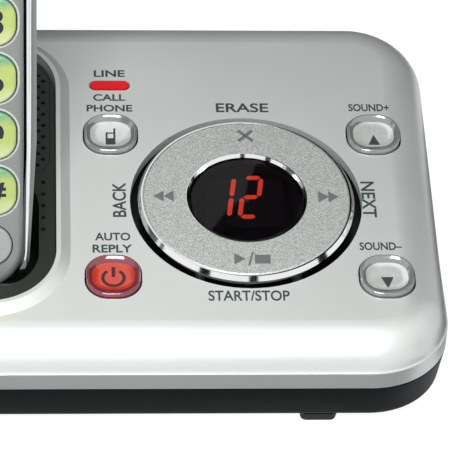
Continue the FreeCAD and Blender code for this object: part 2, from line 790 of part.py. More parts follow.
WELL_WIDTH = "(handset_width+2*well_side_gap)"
WELL_DEPTH = "(handset_depth+2*well_face_gap)"
WELL_FLOOR = "(-fit_gap)"
WELL_MIDDLE = "(handset_depth/2)"
tube = new_body("WellTube")
add(tube, rounded(f"{WELL_WIDTH}+2*well_wall", f"{WELL_DEPTH}+2*well_wall", "well_corner+well_wall"),
    f"{WELL_FLOOR}-well_floor", "handset_depth", at=("0", WELL_MIDDLE))
on_handset(tube)
above = new_body("AboveInsert")
add(above, rounded("cradle_length*4", "cradle_length*4", "10"), f"{INSERT_LOW}+0.5", "cradle_length",
    at=(CRADLE_U, "0"))
on_panel(above)
cavity = new_body("WellCavity")
add(cavity, rounded(WELL_WIDTH, WELL_DEPTH, "well_corner"), WELL_FLOOR, "handset_depth*2",
    at=("0", WELL_MIDDLE))
for way in ("-", ""):
    add(cavity, rounded("spring_width+2*fit_gap", "spring_length+2*fit_gap", "0.5"),
        f"{WELL_FLOOR}-well_floor-1", f"{WELL_FLOOR}+1", at=(f"{way}contact_spread", "contact_place"))
on_handset(cavity)

window = new_body("GrilleWindow")
add(window, rounded(f"{GRILLE_WIDTH}+0.2", f"{GRILLE_LENGTH}+0.2", "grille_corner"),
    f"{INSERT_TOP}-grille_thickness-seat_gap", "lip_height", at=(CRADLE_U, GRILLE_V))
add(window, rounded(f"{GRILLE_WIDTH}-2*grille_ledge", f"{GRILLE_LENGTH}-2*grille_ledge",
                    "grille_corner-grille_ledge"), f"{INSERT_LOW}-1", f"{INSERT_TOP}-grille_thickness",
    at=(CRADLE_U, GRILLE_V))
on_panel(window)

well = boolean("Cut", "Well", tube, above)
insert_body = boolean("Fuse", "InsertBody", plate, well)
insert_open = boolean("Cut", "InsertOpen", insert_body, cavity)
insert = boolean("Cut", "cradle_insert", insert_open, window)
pieces.append(insert)

grille = new_body("speaker_grille")
grille_sketch = new_sketch(grille, "XY_Plane", CRADLE_U, GRILLE_V, f"{INSERT_TOP}-grille_thickness")
rounded(GRILLE_WIDTH, GRILLE_LENGTH, "grille_corner-0.1")(grille_sketch)
corner = value("grille_corner")
for column in range(-columns, columns + 1):
    beyond = max(abs(column * value("sound_column")) - (pattern_half_width - corner), 0)
    reach = pattern_half_length - corner + math.sqrt(max(corner ** 2 - beyond ** 2, 0))
    grille_sketch.addGeometry(sound_holes(column, -reach, reach), False)
grille_pad = grille.newObject("PartDesign::Pad", "Pad")
grille_pad.Profile = grille_sketch
grille_pad.setExpression("Length", S("grille_thickness"))
on_panel(grille)
pieces.append(grille)

springs = []
for number, way in enumerate(("-", ""), start=1):
    spring = new_body(f"Spring{number}")
    place = (f"{way}contact_spread", "contact_place")
    SPRING_LOW = f"({WELL_FLOOR}-well_floor-seat_gap)"
    add(spring, rounded("spring_width", "spring_length", "0.4"), SPRING_LOW, "-contact_gap", at=place)
    add(spring, rounded("spring_width+3", "spring_length+2", "0.4"), f"{SPRING_LOW}-spring_foot", SPRING_LOW,
        at=place)
    on_handset(spring)
    springs.append(spring)
contacts = doc.addObject("Part::Compound", "charge_contacts")
contacts.Label = "charge_contacts"
contacts.Links = springs
pieces.append(contacts)

# --- speaker under the grille ------------------------------------------------------------------------------

SPEAKER_TOP = f"({INSERT_LOW}-seat_gap)"
SPEAKER_V = f"({GRILLE_V})"
basket = new_body("speaker_frame")
spin(basket, [
    ("speaker_radius-2", "0"), ("speaker_radius", "0"), ("speaker_radius", "-2"),
    ("magnet_radius+1", "-speaker_depth+2"), ("magnet_radius", "-speaker_depth"), ("0", "-speaker_depth"),
    ("0", "-speaker_depth+1.4"), ("magnet_radius-0.6", "-speaker_depth+1.4"),
    ("magnet_radius", "-speaker_depth+2.6"), ("speaker_radius-2", "-2.2"),
])
set_frame(basket, panel_point(CRADLE_U, SPEAKER_V, SPEAKER_TOP), "panel_tilt")
pieces.append(basket)
cone = new_body("speaker_cone")
spin(cone, [
    ("0", "-2.6"), ("3.5", "-3.4"), ("speaker_radius-2.3", "-0.7"), ("speaker_radius-2.05", "-0.7"),
    ("speaker_radius-2.05", "-1.1"), ("3.6", "-4"), ("0", "-3.2"),
])
set_frame(cone, panel_point(CRADLE_U, SPEAKER_V, SPEAKER_TOP), "panel_tilt")
pieces.append(cone)

# --- key board, switches, display and lamp -----------------------------------------------------------------

board = new_body("key_board")
add(board, rounded("2*key_board_side", "key_board_front+key_board_back", "2"),
    f"{KEY_BOARD_TOP}-board_thickness", KEY_BOARD_TOP, at=("0", "(key_board_back-key_board_front)/2"))
on_panel(board)
pieces.append(board)

RING_SWITCHES = [("ring_stem_place", "0"), ("0", "ring_stem_place"),
                 ("-ring_stem_place", "0"), ("0", "-ring_stem_place")]
switches = []
for number, (u, v) in enumerate(RING_SWITCHES + list(BUTTONS.values()), start=1):
    switch = new_body(f"Switch{number}")
    add(switch, rounded("switch_size", "switch_size", "0.6"), f"{KEY_BOARD_TOP}+seat_gap", "-switch_top",
        at=(u, v))
    cut(switch, circle("switch_bore"), "-switch_top-switch_bore_depth", "-switch_top+1", at=(u, v))
    on_panel(switch)
    switches.append(switch)
tact_switches = doc.addObject("Part::Compound", "tact_switches")
tact_switches.Label = "tact_switches"
tact_switches.Links = switches
pieces.append(tact_switches)

module = new_body("display_module")
add(module, rounded("module_width", "module_length", "0.5"), f"{KEY_BOARD_TOP}+seat_gap", "-module_drop")
on_panel(module)
pieces.append(module)

# lit segments of the two digits; each is a slanted bar with pointed ends, told by its middle line
def segment_outline(ends, across):
    """Bar between two ends, each a pair of formulas, widened across in x or in y."""
    (x1, y1), (x2, y2) = ends
    half = "segment_width/2"
    if across == "x":
        corners = [(x1, f"{y1}+segment_gap"), (f"{x1}+{half}", f"{y1}+segment_gap+{half}"),
                   (f"{x2}+{half}", f"{y2}-segment_gap-{half}"), (x2, f"{y2}-segment_gap"),
                   (f"{x2}-{half}", f"{y2}-segment_gap-{half}"), (f"{x1}-{half}", f"{y1}+segment_gap+{half}")]
    else:
        corners = [(f"{x1}+segment_gap", y1), (f"{x1}+segment_gap+{half}", f"{y1}-{half}"),
                   (f"{x2}-segment_gap-{half}", f"{y2}-{half}"), (f"{x2}-segment_gap", y2),
                   (f"{x2}-segment_gap-{half}", f"{y2}+{half}"), (f"{x1}+segment_gap+{half}", f"{y1}+{half}")]
    return polygon([(f"{x}+({y})*tan(digit_slant)-digit_shift", f"{y}+digit_raise") for x, y in corners])


HIGH = "((digit_height-segment_width)/2)"
LOW = "((segment_width-digit_height)/2)"
ONE = "(-(digit_gap+segment_width)/2)"
TWO_LEFT = "((digit_gap+segment_width)/2)"
TWO_RIGHT = "(digit_gap/2+digit_width-segment_width/2)"
segments = []
for number, (ends, across) in enumerate((
        (((ONE, "0"), (ONE, HIGH)), "x"),
        (((ONE, LOW), (ONE, "0")), "x"),
        (((TWO_RIGHT, "0"), (TWO_RIGHT, HIGH)), "x"),
        (((TWO_LEFT, LOW), (TWO_LEFT, "0")), "x"),
        (((TWO_LEFT, HIGH), (TWO_RIGHT, HIGH)), "y"),
        (((TWO_LEFT, "0"), (TWO_RIGHT, "0")), "y"),
        (((TWO_LEFT, LOW), (TWO_RIGHT, LOW)), "y")), start=1):
    segment = new_body(f"Segment{number}")
    add(segment, segment_outline(ends, across), "-module_drop+seat_gap/2", "-module_drop+segment_rise")
    on_panel(segment)
    segments.append(segment)
digits = doc.addObject("Part::Compound", "lit_digits")
digits.Label = "lit_digits"
digits.Links = segments
pieces.append(digits)

lens = new_body("display_lens")
spin(lens, [
    ("0", "-lens_drop"), ("lens_radius", "-lens_drop"), ("lens_radius", "lens_thickness-lens_drop-0.3"),
    ("lens_radius-0.3", "lens_thickness-lens_drop"), ("0", "lens_thickness-lens_drop+0.1"),
])
on_panel(lens)
pieces.append(lens)

holder = new_body("display_holder")
spin(holder, [
    ("lens_radius-holder_wall", f"{KEY_BOARD_TOP}+seat_gap"),
    ("holder_radius", f"{KEY_BOARD_TOP}+seat_gap"), ("holder_radius", "-holder_shoulder"),
    ("lens_radius", "-holder_shoulder"), ("lens_radius", "-lens_drop-seat_gap"),
    ("lens_radius-holder_wall", "-lens_drop-seat_gap"),
])
PIN_END = "(carrier_outer-0.3)"
for way in ("-", ""):
    sketch = new_sketch(holder, "YZ_Plane", "0", "-pivot_depth", f"{way}(holder_radius-0.4)")
    circle("pivot_pin")(sketch)
    pin = holder.newObject("PartDesign::Pad", "Pad")
    pin.Profile = sketch
    pin.Reversed = way == "-"
    pin.setExpression("Length", S(f"{PIN_END}-holder_radius+0.4"))
on_panel(holder)
pieces.append(holder)

carrier = new_body("ring_gimbal")
spin(carrier, [
    ("carrier_inner", "-pivot_depth-carrier_half_height"),
    ("carrier_outer", "-pivot_depth-carrier_half_height"),
    ("carrier_outer", "-pivot_depth+carrier_half_height"),
    ("carrier_inner", "-pivot_depth+carrier_half_height"),
])
bore = new_sketch(carrier, "YZ_Plane", "0", "-pivot_depth", "0")
circle("pivot_pin+pin_gap")(bore)
bores = carrier.newObject("PartDesign::Pocket", "Pocket")
bores.Profile = bore
bores.Midplane = True
bores.setExpression("Length", S("4*carrier_outer"))
for way in ("-", ""):
    sketch = new_sketch(carrier, "XZ_Plane", "0", "-pivot_depth", f"{way}(carrier_outer-0.5)")
    circle("pivot_pin")(sketch)
    pin = carrier.newObject("PartDesign::Pad", "Pad")
    pin.Profile = sketch
    pin.Reversed = way == "-"
    pin.setExpression("Length", S("lug_outer-0.2-carrier_outer+0.5"))
on_panel(carrier)
pieces.append(carrier)

ring = new_body("ring_key")
spin(ring, [
    ("ring_inner", "-ring_underside"), ("ring_radius-ring_skirt", "-ring_underside"),
    ("ring_radius-ring_skirt", "-ring_skirt_depth"), ("ring_radius", "-ring_skirt_depth"),
    ("ring_radius", "ring_rise-0.3"), ("ring_radius-0.3", "ring_rise"), ("ring_inner", "ring_rise"),
])
for way in ("-", ""):
    add(ring, polygon([
        ("-lug_width/2", "lug_inner"), ("lug_width/2", "lug_inner"),
        ("lug_width/2", "lug_outer"), ("-lug_width/2", "lug_outer"),
    ]) if way == "" else polygon([
        ("-lug_width/2", "-lug_outer"), ("lug_width/2", "-lug_outer"),
        ("lug_width/2", "-lug_inner"), ("-lug_width/2", "-lug_inner"),
    ]), "-lug_bottom", "0")
for u, v in RING_SWITCHES:
    add(ring, circle("ring_stem_radius", u, v), "-stem_reach", "0")
bore = new_sketch(ring, "XZ_Plane", "0", "-pivot_depth", "0")
circle("pivot_pin+pin_gap")(bore)
bores = ring.newObject("PartDesign::Pocket", "Pocket")
bores.Profile = bore
bores.Midplane = True
bores.setExpression("Length", S("2*lug_outer+0.2"))
on_panel(ring)
pieces.append(ring)

trim = new_body("ring_trim")
spin(trim, [
    ("ring_radius+seat_gap", "-ring_skirt_depth+0.2"), ("ring_trim_radius", "-ring_skirt_depth+0.2"),
    ("ring_trim_radius", "ring_rise-1"), ("ring_radius+0.35", "ring_rise-0.1"),
    ("ring_radius+seat_gap", "ring_rise-0.1"),
])
on_panel(trim)
pieces.append(trim)

liner = new_body("ring_liner")
spin(liner, [
    ("liner_inner", "-ring_underside"), ("ring_inner-seat_gap", "-ring_underside"),
    ("ring_inner-seat_gap", "ring_rise"), ("ring_inner-seat_gap-liner_wall", "ring_rise"),
    ("liner_inner", "ring_rise-liner_slope"),
])
on_panel(liner)
pieces.append(liner)

FLANGE_TOP = "(-cover_wall-fit_gap)"
for label, (u, v) in BUTTONS.items():
    button = new_body(label)
    cap = add(button, rounded("button_width", "button_length", "button_corner"), FLANGE_TOP, "button_rise",
              at=(u, v))
    doc.recompute()
    dress(button, "Fillet", cap, edges_of(cap.Shape, at_level(Z, "button_rise")), "button_edge")
    add(button, rounded("button_tab_width", "button_length+2*button_tab", "1"),
        f"{FLANGE_TOP}-button_tab_thickness", FLANGE_TOP, at=(u, v))
    add(button, circle("button_stem"), "-stem_reach", FLANGE_TOP, at=(u, v))
    on_panel(button)
    pieces.append(button)

lamp = new_body("lamp_lens")
lamp_cap = add(lamp, rounded("lamp_width", "lamp_length", "lamp_length/2-0.05"), "-cover_wall-seat_gap",
               "lamp_rise", at=("-button_spread", "lamp_up"))
add(lamp, rounded("lamp_width+2*lamp_flange", "lamp_length+2*lamp_flange", "lamp_length/2"),
    "-cover_wall-seat_gap-1", "-cover_wall-seat_gap", at=("-button_spread", "lamp_up"))
add(lamp, circle("lamp_length/2"), f"{KEY_BOARD_TOP}+seat_gap", "-cover_wall-seat_gap-1",
    at=("-button_spread", "lamp_up"))
on_panel(lamp)
pieces.append(lamp)

# --- main board, its components and the sockets ------------------------------------------------------------

main_board = new_body("main_board")
add(main_board, rounded("main_board_width", "main_board_length", "3"), BOARD_BOTTOM, BOARD_TOP,
    at=("0", "main_board_shift"))
pieces.append(main_board)

shield = new_body("radio_shield")
add(shield, rounded("shield_width", "shield_length", "0.8"), STAND_Z, f"{STAND_Z}+shield_height",
    at=("shield_x", "shield_y"))
pieces.append(shield)

chip = new_body("processor")
add(chip, rounded("chip_size", "chip_size", "0.4"), STAND_Z, f"{STAND_Z}+chip_height", at=("chip_x", "chip_y"))
pieces.append(chip)

cans = []
for number, step in enumerate(("0", "capacitor_pitch"), start=1):
    can = new_body(f"Capacitor{number}")
    add(can, circle("capacitor_radius"), STAND_Z, f"{STAND_Z}+capacitor_height",
        at=(f"capacitor_x-{step}", "capacitor_y"))
    cans.append(can)
capacitors = doc.addObject("Part::Compound", "capacitors")
capacitors.Label = "capacitors"
capacitors.Links = cans
pieces.append(capacitors)

SOCKET_BACK = f"({BACK_INNER}-seat_gap)"
power = new_body("power_socket")
add(power, rounded("power_width", "socket_height", "0.6"), f"-{SOCKET_BACK}", f"-{SOCKET_BACK}+power_length",
    at=(POWER_X, f"{STAND_Z}+socket_height/2"), plane="XZ_Plane")
sketch = new_sketch(power, "XZ_Plane", POWER_X, "power_axis", f"-{SOCKET_BACK}")
circle("power_bore")(sketch)
bore = power.newObject("PartDesign::Pocket", "Pocket")
bore.Profile = sketch
bore.Reversed = True
bore.setExpression("Length", S("power_bore_depth"))
sketch = new_sketch(power, "XZ_Plane", POWER_X, "power_axis", f"-{SOCKET_BACK}+0.6")
circle("power_pin")(sketch)
pin = power.newObject("PartDesign::Pad", "Pad")
pin.Profile = sketch
pin.setExpression("Length", S("power_bore_depth"))
pieces.append(power)

line = new_body("line_socket")
add(line, rounded("line_width", "socket_height", "0.6"), f"-{SOCKET_BACK}", f"-{SOCKET_BACK}+line_length",
    at=(LINE_X, f"{STAND_Z}+socket_height/2"), plane="XZ_Plane")
sketch = new_sketch(line, "XZ_Plane", LINE_X, "line_axis", f"-{SOCKET_BACK}")
rounded("port_width", "port_height", "0.3")(sketch)
port = line.newObject("PartDesign::Pocket", "Pocket")
port.Profile = sketch
port.Reversed = True
port.setExpression("Length", S("port_depth"))
pieces.append(line)

# --- handset shells ----------------------------------------------------------------------------------------

HALF_WIDTH = "(handset_width/2)"


def handset_outline(inset, taper, low):
    """Front view of the handset, drawn in by an inset, narrowing below by a taper and ending at a height."""
    points = [
        (f"-({HALF_WIDTH}-({taper})-({inset}))", low),
        (f"{HALF_WIDTH}-({taper})-({inset})", low),
        (f"{HALF_WIDTH}-({inset})", "handset_taper_height"),
        (f"{HALF_WIDTH}-({inset})", f"handset_length-({inset})"),
        (f"-({HALF_WIDTH}-({inset}))", f"handset_length-({inset})"),
        (f"-({HALF_WIDTH}-({inset}))", "handset_taper_height"),
    ]
    return polygon(points)


def corners_within(low, high):
    """Test for an edge along the handset's depth between two heights."""
    def wanted(edge):
        return along(Y)(edge) and low < edge.Vertexes[0].Point.z < high
    return wanted


def handset_block(body, inset, taper, low, foot_corner, front, back):
    """Slab of the handset's outline between two depths, its four corners rounded."""
    block = add(body, handset_outline(inset, taper, low), f"-({back})", f"-({front})", plane="XZ_Plane")
    doc.recompute()
    waist = value("handset_taper_height")
    feet_edges = edges_of(block.Shape, corners_within(-1, waist - 1))
    block = dress(body, "Fillet", block, feet_edges, foot_corner)
    doc.recompute()
    head_edges = edges_of(block.Shape, corners_within(waist + 1, value("handset_length") + 1))
    block = dress(body, "Fillet", block, head_edges, f"handset_corner-({inset})")
    doc.recompute()
    return block


def cut_front(body, outline, front, back, x, z):
    """Pocket between two depths of the handset."""
    return cut(body, outline, f"-({back})", f"-({front})", at=(x, z), plane="XZ_Plane")


def add_front(body, outline, front, back, x, z):
    """Pad between two depths of the handset."""
    return add(body, outline, f"-({back})", f"-({front})", at=(x, z), plane="XZ_Plane")


face = new_body("HandsetFace")
block = handset_block(face, "face_inset", "face_taper", "face_low", "face_foot_corner", "0",
                      "face_depth")
dress(face, "Fillet", block, edges_of(block.Shape, at_level(Y, "0")), "face_round")
room = new_body("FaceRoom")
handset_block(room, "face_inset+face_side_wall", "face_taper", "face_low+face_side_wall",
              "face_foot_corner-face_side_wall", "face_wall", "face_depth+1")
on_handset(room)

FACE_HALF = "(handset_width/2-face_inset)"
KEY_PITCH = f"({FACE_HALF}-key_side_margin-key_width/2)"
ROUND_PITCH = f"({FACE_HALF}-round_key_margin-round_key_width/2)"
KEYS = {}
for row, names in enumerate((("key_star", "key_0", "key_hash"), ("key_7", "key_8", "key_9"),
                             ("key_4", "key_5", "key_6"), ("key_1", "key_2", "key_3"))):
    for column, label in enumerate(names):
        place = (f"{column - 1}*{KEY_PITCH}", f"key_lowest+{row}*key_pitch_z")
        KEYS[label] = place + ("key_width", "key_length", "key_corner")
ROUND_KEY = ("round_key_width", "round_key_length", "round_key_length/2-0.1")
KEYS["lower_left_key"] = (f"-{ROUND_PITCH}", "round_key_place") + ROUND_KEY
KEYS["lower_right_key"] = (ROUND_PITCH, "round_key_place") + ROUND_KEY
CALL_KEY = ("key_width", "key_length", "key_corner")
KEYS["talk_key"] = (f"-{KEY_PITCH}", "call_key_place") + CALL_KEY
KEYS["end_key"] = (KEY_PITCH, "call_key_place") + CALL_KEY
SOFT_KEY = ("key_width", "soft_key_length", "soft_key_corner")
KEYS["left_soft_key"] = (f"-{KEY_PITCH}", "soft_key_place") + SOFT_KEY
KEYS["right_soft_key"] = (KEY_PITCH, "soft_key_place") + SOFT_KEY
KEYS["navigation_key"] = ("0", "navigation_place", "navigation_width", "navigation_length",
                          "navigation_width/2-0.1")

for x, z, width, length, radius in KEYS.values():
    outline = rounded(f"{width}+2*key_gap", f"{length}+2*key_gap", f"{radius}+key_gap")
    cut_front(face, outline, "-1", "face_wall+0.5", x, z)
EARPIECE = "(handset_length-earpiece_drop)"
WINDOW_LOW = "(soft_key_place+soft_key_length/2+window_margin)"
WINDOW_HIGH = f"({EARPIECE}-earpiece_radius-window_margin)"
WINDOW_MIDDLE = f"(({WINDOW_LOW}+{WINDOW_HIGH})/2)"
WINDOW_LENGTH = f"({WINDOW_HIGH}-{WINDOW_LOW})"
WINDOW_WIDTH = "(handset_width-2*window_side)"
seat = rounded(f"{WINDOW_WIDTH}+2*seat_gap", f"{WINDOW_LENGTH}+2*seat_gap", "window_corner+seat_gap")
cut_front(face, seat, "-1", "window_thickness+seat_gap", "0", WINDOW_MIDDLE)
opening = rounded(f"{WINDOW_WIDTH}-2*window_ledge", f"{WINDOW_LENGTH}-2*window_ledge", "window_corner-1")
cut_front(face, opening, "0", "face_wall+0.5", "0", WINDOW_MIDDLE)
for row in (-1, 0, 1):
    slot = rounded("earpiece_slot_width", "earpiece_slot_length", "earpiece_slot_length/2-0.05")
    cut_front(face, slot, "-1", "face_wall+0.5", "0", f"{EARPIECE}+{row}*earpiece_slot_pitch")
cut_front(face, circle("mouth_hole"), "-1", "face_wall+0.5", "0", "mouth_place")
on_handset(face)
handset_front = boolean("Cut", "handset_front", face, room)
pieces.append(handset_front)

strip = new_body("TrimStrip")
block = handset_block(strip, "trim_inset", "trim_taper", "0", "foot_corner-trim_inset", "trim_front",
                      "face_depth")
dress(strip, "Fillet", block, edges_of(block.Shape, at_level(Y, "trim_front")), "trim_width*0.5")
on_handset(strip)
strip_bore = new_body("StripBore")
handset_block(strip_bore, "trim_inset+trim_width", "face_taper", "trim_low",
              "face_foot_corner-0.5", "trim_front-1", "face_depth+1")
on_handset(strip_bore)
handset_trim = boolean("Cut", "handset_trim", strip, strip_bore)
pieces.append(handset_trim)

back_shell = new_body("BackShell")
SHELL_FRONT = "(face_depth+seat_gap)"
block = handset_block(back_shell, "0", "handset_taper", "0", "foot_corner", SHELL_FRONT, "handset_depth")
dress(back_shell, "Fillet", block, edges_of(block.Shape, at_level(Y, "handset_depth")), "handset_back_round")
back_room = new_body("BackRoom")
ROOM_BACK = "(handset_depth-handset_wall)"
block = handset_block(back_room, "handset_wall", "handset_taper", "handset_wall", "foot_corner-handset_wall",
                      f"{SHELL_FRONT}-1", ROOM_BACK)
dress(back_room, "Fillet", block, edges_of(block.Shape, at_level(Y, ROOM_BACK)),
      "handset_back_round-handset_wall")
on_handset(back_room)
DOOR_OUT = "(handset_depth-door_sink)"
DOOR_IN = f"({DOOR_OUT}-door_thickness)"
TRACK_LENGTH = "(door_length+door_travel+2*fit_gap)"
TRACK_MIDDLE = "(door_bottom+(door_length-door_travel)/2)"
DOOR_WIDTH = "(handset_width-2*handset_back_round-2*door_side)"
track = rounded(f"{DOOR_WIDTH}+2*fit_gap", TRACK_LENGTH, "door_corner+fit_gap")
cut_front(back_shell, track, f"{DOOR_IN}-seat_gap", "handset_depth+1", "0", TRACK_MIDDLE)
BAY_MIDDLE = "(door_bottom+door_length/2)"
bay = rounded("2*bay_half_width", "cell_length+4", "1")
cut_front(back_shell, bay, "handset_depth-handset_wall-1", "handset_depth+1", "0", BAY_MIDDLE)
for way in ("-", ""):
    cut(back_shell, rounded("contact_width+2*seat_gap", "contact_length+2*seat_gap", "0.5"), "-1",
        "contact_thickness+seat_gap", at=(f"{way}contact_spread", "contact_place"))
on_handset(back_shell)
handset_back = boolean("Cut", "handset_back", back_shell, back_room)
pieces.append(handset_back)

door = new_body("battery_door")
panel_pad = add_front(door, rounded(DOOR_WIDTH, "door_length", "door_corner"), DOOR_IN, DOOR_OUT, "0",
                      BAY_MIDDLE)
for row in (0, 1, 2):
    rib = rounded("9", "0.8", "0.35")
    add_front(door, rib, DOOR_OUT, f"{DOOR_OUT}+door_sink", "0", f"door_bottom+door_length-9-{row}*2")
on_handset(door)
pieces.append(door)

cells = []
for number, way in enumerate(("-", ""), start=1):
    cell = new_body(f"Cell{number}")
    place = (f"{way}cell_spread", f"{DOOR_IN}-fit_gap-cell_radius")
    add(cell, circle("cell_radius"), f"{BAY_MIDDLE}-cell_length/2", f"{BAY_MIDDLE}+cell_length/2-1", at=place)
    add(cell, circle("cell_radius/3"), f"{BAY_MIDDLE}+cell_length/2-1", f"{BAY_MIDDLE}+cell_length/2",
        at=place)
    on_handset(cell)
    cells.append(cell)
battery_cells = doc.addObject("Part::Compound", "battery_cells")
battery_cells.Label = "battery_cells"
battery_cells.Links = cells
pieces.append(battery_cells)

pads = []
for number, way in enumerate(("-", ""), start=1):
    contact = new_body(f"ContactPad{number}")
    add(contact, rounded("contact_width", "contact_length", "0.5"), "0", "contact_thickness",
        at=(f"{way}contact_spread", "contact_place"))
    on_handset(contact)
    pads.append(contact)
handset_contacts = doc.addObject("Part::Compound", "handset_contacts")
handset_contacts.Label = "handset_contacts"
handset_contacts.Links = pads
pieces.append(handset_contacts)

# --- handset board, display, sound -------------------------------------------------------------------------

BOARD_FRONT = "handset_board_front"
BOARD_WIDTH = "(handset_width-2*face_inset-2*face_side_wall-2*handset_board_margin-2*handset_taper)"
BOARD_LENGTH = "(handset_length-2*face_inset-2*face_side_wall-2*handset_board_margin)"
handset_board = new_body("handset_board")
add_front(handset_board, rounded(BOARD_WIDTH, BOARD_LENGTH, "6"), BOARD_FRONT,
          f"{BOARD_FRONT}+handset_board_thickness", "0", "handset_length/2")
on_handset(handset_board)
pieces.append(handset_board)

lcd = new_body("handset_display")
add_front(lcd, rounded(f"{WINDOW_WIDTH}-2*lcd_margin", f"{WINDOW_LENGTH}-2*lcd_margin", "0.6"),
          "face_wall+fit_gap", f"{BOARD_FRONT}-seat_gap", "0", WINDOW_MIDDLE)
on_handset(lcd)
pieces.append(lcd)

glass = new_body("handset_window")
add_front(glass, rounded(WINDOW_WIDTH, WINDOW_LENGTH, "window_corner"), "0", "window_thickness", "0",
          WINDOW_MIDDLE)
on_handset(glass)
pieces.append(glass)

earpiece = new_body("earpiece")
add_front(earpiece, circle("earpiece_radius"), "face_wall+seat_gap", f"{BOARD_FRONT}-seat_gap", "0",
          EARPIECE)
on_handset(earpiece)
pieces.append(earpiece)

mouthpiece = new_body("microphone")
add_front(mouthpiece, circle("mouthpiece_radius"), "face_wall+seat_gap", f"{BOARD_FRONT}-seat_gap", "0",
          "mouth_place")
on_handset(mouthpiece)
pieces.append(mouthpiece)

# --- handset keys ------------------------------------------------------------------------------------------

KEY_SEAT = "(face_wall+fit_gap)"
for label, (x, z, width, length, radius) in KEYS.items():
    key = new_body(label)
    cap = add_front(key, rounded(width, length, radius), "-key_rise", KEY_SEAT, x, z)
    doc.recompute()
    dress(key, "Fillet", cap, edges_of(cap.Shape, at_level(Y, "-key_rise")), "key_edge")
    add_front(key, rounded(width, f"{length}+2*key_flange", radius), KEY_SEAT,
              f"{KEY_SEAT}+key_flange_thickness", x, z)
    on_handset(key)
    pieces.append(key)

# --- check the document and write the sub-parts ------------------------------------------------------------

doc.recompute()
for item in doc.Objects:
    if "Invalid" in item.State or "Error" in item.State:
        raise RuntimeError(f"{item.Label}: {item.State}")
for piece in pieces:
    if piece.Shape.isNull() or not piece.Shape.isValid():
        raise RuntimeError(f"{piece.Label} has no valid shape")
os.makedirs("parts", exist_ok=True)
for piece in pieces:
    piece.Shape.exportStep(f"parts/{piece.Label}.step")
    print(piece.Label, len(piece.Shape.Solids), round(piece.Shape.Volume, 1))
print(len(pieces), "nodes")
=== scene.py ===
"""Looks of a cordless answering machine: silver base with a four-way key, and the handset in its cradle."""
import logging
import math
from dataclasses import dataclass, field, replace
from enum import Enum

import bpy
from mathutils import Matrix, Vector


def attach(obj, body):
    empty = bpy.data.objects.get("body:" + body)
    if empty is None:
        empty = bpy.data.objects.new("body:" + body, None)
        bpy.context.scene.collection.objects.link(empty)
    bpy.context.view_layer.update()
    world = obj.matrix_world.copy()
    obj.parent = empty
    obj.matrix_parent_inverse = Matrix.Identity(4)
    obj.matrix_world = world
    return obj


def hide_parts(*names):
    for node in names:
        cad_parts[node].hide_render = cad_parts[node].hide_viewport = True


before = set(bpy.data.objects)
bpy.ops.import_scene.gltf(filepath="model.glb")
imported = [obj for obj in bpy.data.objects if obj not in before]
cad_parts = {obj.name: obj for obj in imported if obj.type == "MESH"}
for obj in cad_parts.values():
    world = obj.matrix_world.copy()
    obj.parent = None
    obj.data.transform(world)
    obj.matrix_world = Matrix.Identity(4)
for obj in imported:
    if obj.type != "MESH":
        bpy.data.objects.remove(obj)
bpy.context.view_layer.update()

Colour = tuple[float, float, float, float]
Triple = tuple[float, float, float]
Pair = tuple[float, float]
Socket = bpy.types.NodeSocket
Piece = bpy.types.Object

log = logging.getLogger("answering_machine")
MM = 0.001
WHITE = (1, 1, 1, 1)
CARD_BLACK = (0.004, 0.004, 0.005, 1)
# How far a print reaches under and over the surface it lies on, in metres.
PRINT_SINK = 0.02 * MM
PRINT_RISE = 0.03 * MM
# Level of a print's middle above that surface, in millimetres.
PRINT_LEVEL = 0.005
# Height of a capital letter as a share of its font's size.
CAPITAL_SHARE = 0.69
# Steps in a rounded corner.
CORNER_STEPS = 8
# The values between which a noise mostly stays.
NOISE_LOW, NOISE_HIGH = 0.3, 0.7
# Climb of the handset's face above the level, in degrees.
FACE_SLOPE = 70.0
# Number keys on that face, in millimetres: from one column and one row to the next, and the lowest row.
COLUMN_PITCH, ROW_PITCH, LOWEST_ROW = 14.2, 11.4, 21.1


def tint(red: int, green: int, blue: int) -> Colour:
    """Turn a screen colour, 0 to 255 a channel, into a linear colour with full opacity.

    Args:
        red: Red channel.
        green: Green channel.
        blue: Blue channel.

    Returns:
        Linear red, green, blue and an opacity of 1.
    """
    linear = []
    for channel in (red, green, blue):
        share = channel / 255
        linear.append(share / 12.92 if share <= 0.04045 else ((share + 0.055) / 1.055) ** 2.4)
    return (linear[0], linear[1], linear[2], 1.0)


@dataclass(frozen=True)
class Plane:
    """Flat working plane on the machine, in metres.

    Attributes:
        origin: Its zero point.
        right: Unit direction of growing u.
        up: Unit direction of growing v.
        out: Unit direction away from the surface.
    """

    origin: Vector
    right: Vector
    up: Vector
    out: Vector

    def point(self, u: float, v: float, n: float = 0.0) -> Vector:
        """Point of the plane, or above it.

        Args:
            u: Millimetres to the right.
            v: Millimetres up the plane.
            n: Millimetres away from it.

        Returns:
            The point in the machine's frame, in metres.
        """
        return self.origin + (self.right * u + self.up * v + self.out * n) * MM

    def placing(self, u: float, v: float, n: float = 0.0, turn: float = 0.0) -> Matrix:
        """Matrix that lays a piece made flat at the world's centre onto the plane.

        Args:
            u: Millimetres to the right.
            v: Millimetres up the plane.
            n: Millimetres away from it.
            turn: Turn about the outward direction, anticlockwise, in degrees.

        Returns:
            The placing matrix.
        """
        axes = Matrix((self.right, self.up, self.out)).transposed().to_4x4()
        return Matrix.Translation(self.point(u, v, n)) @ axes @ Matrix.Rotation(math.radians(turn), 4, "Z")


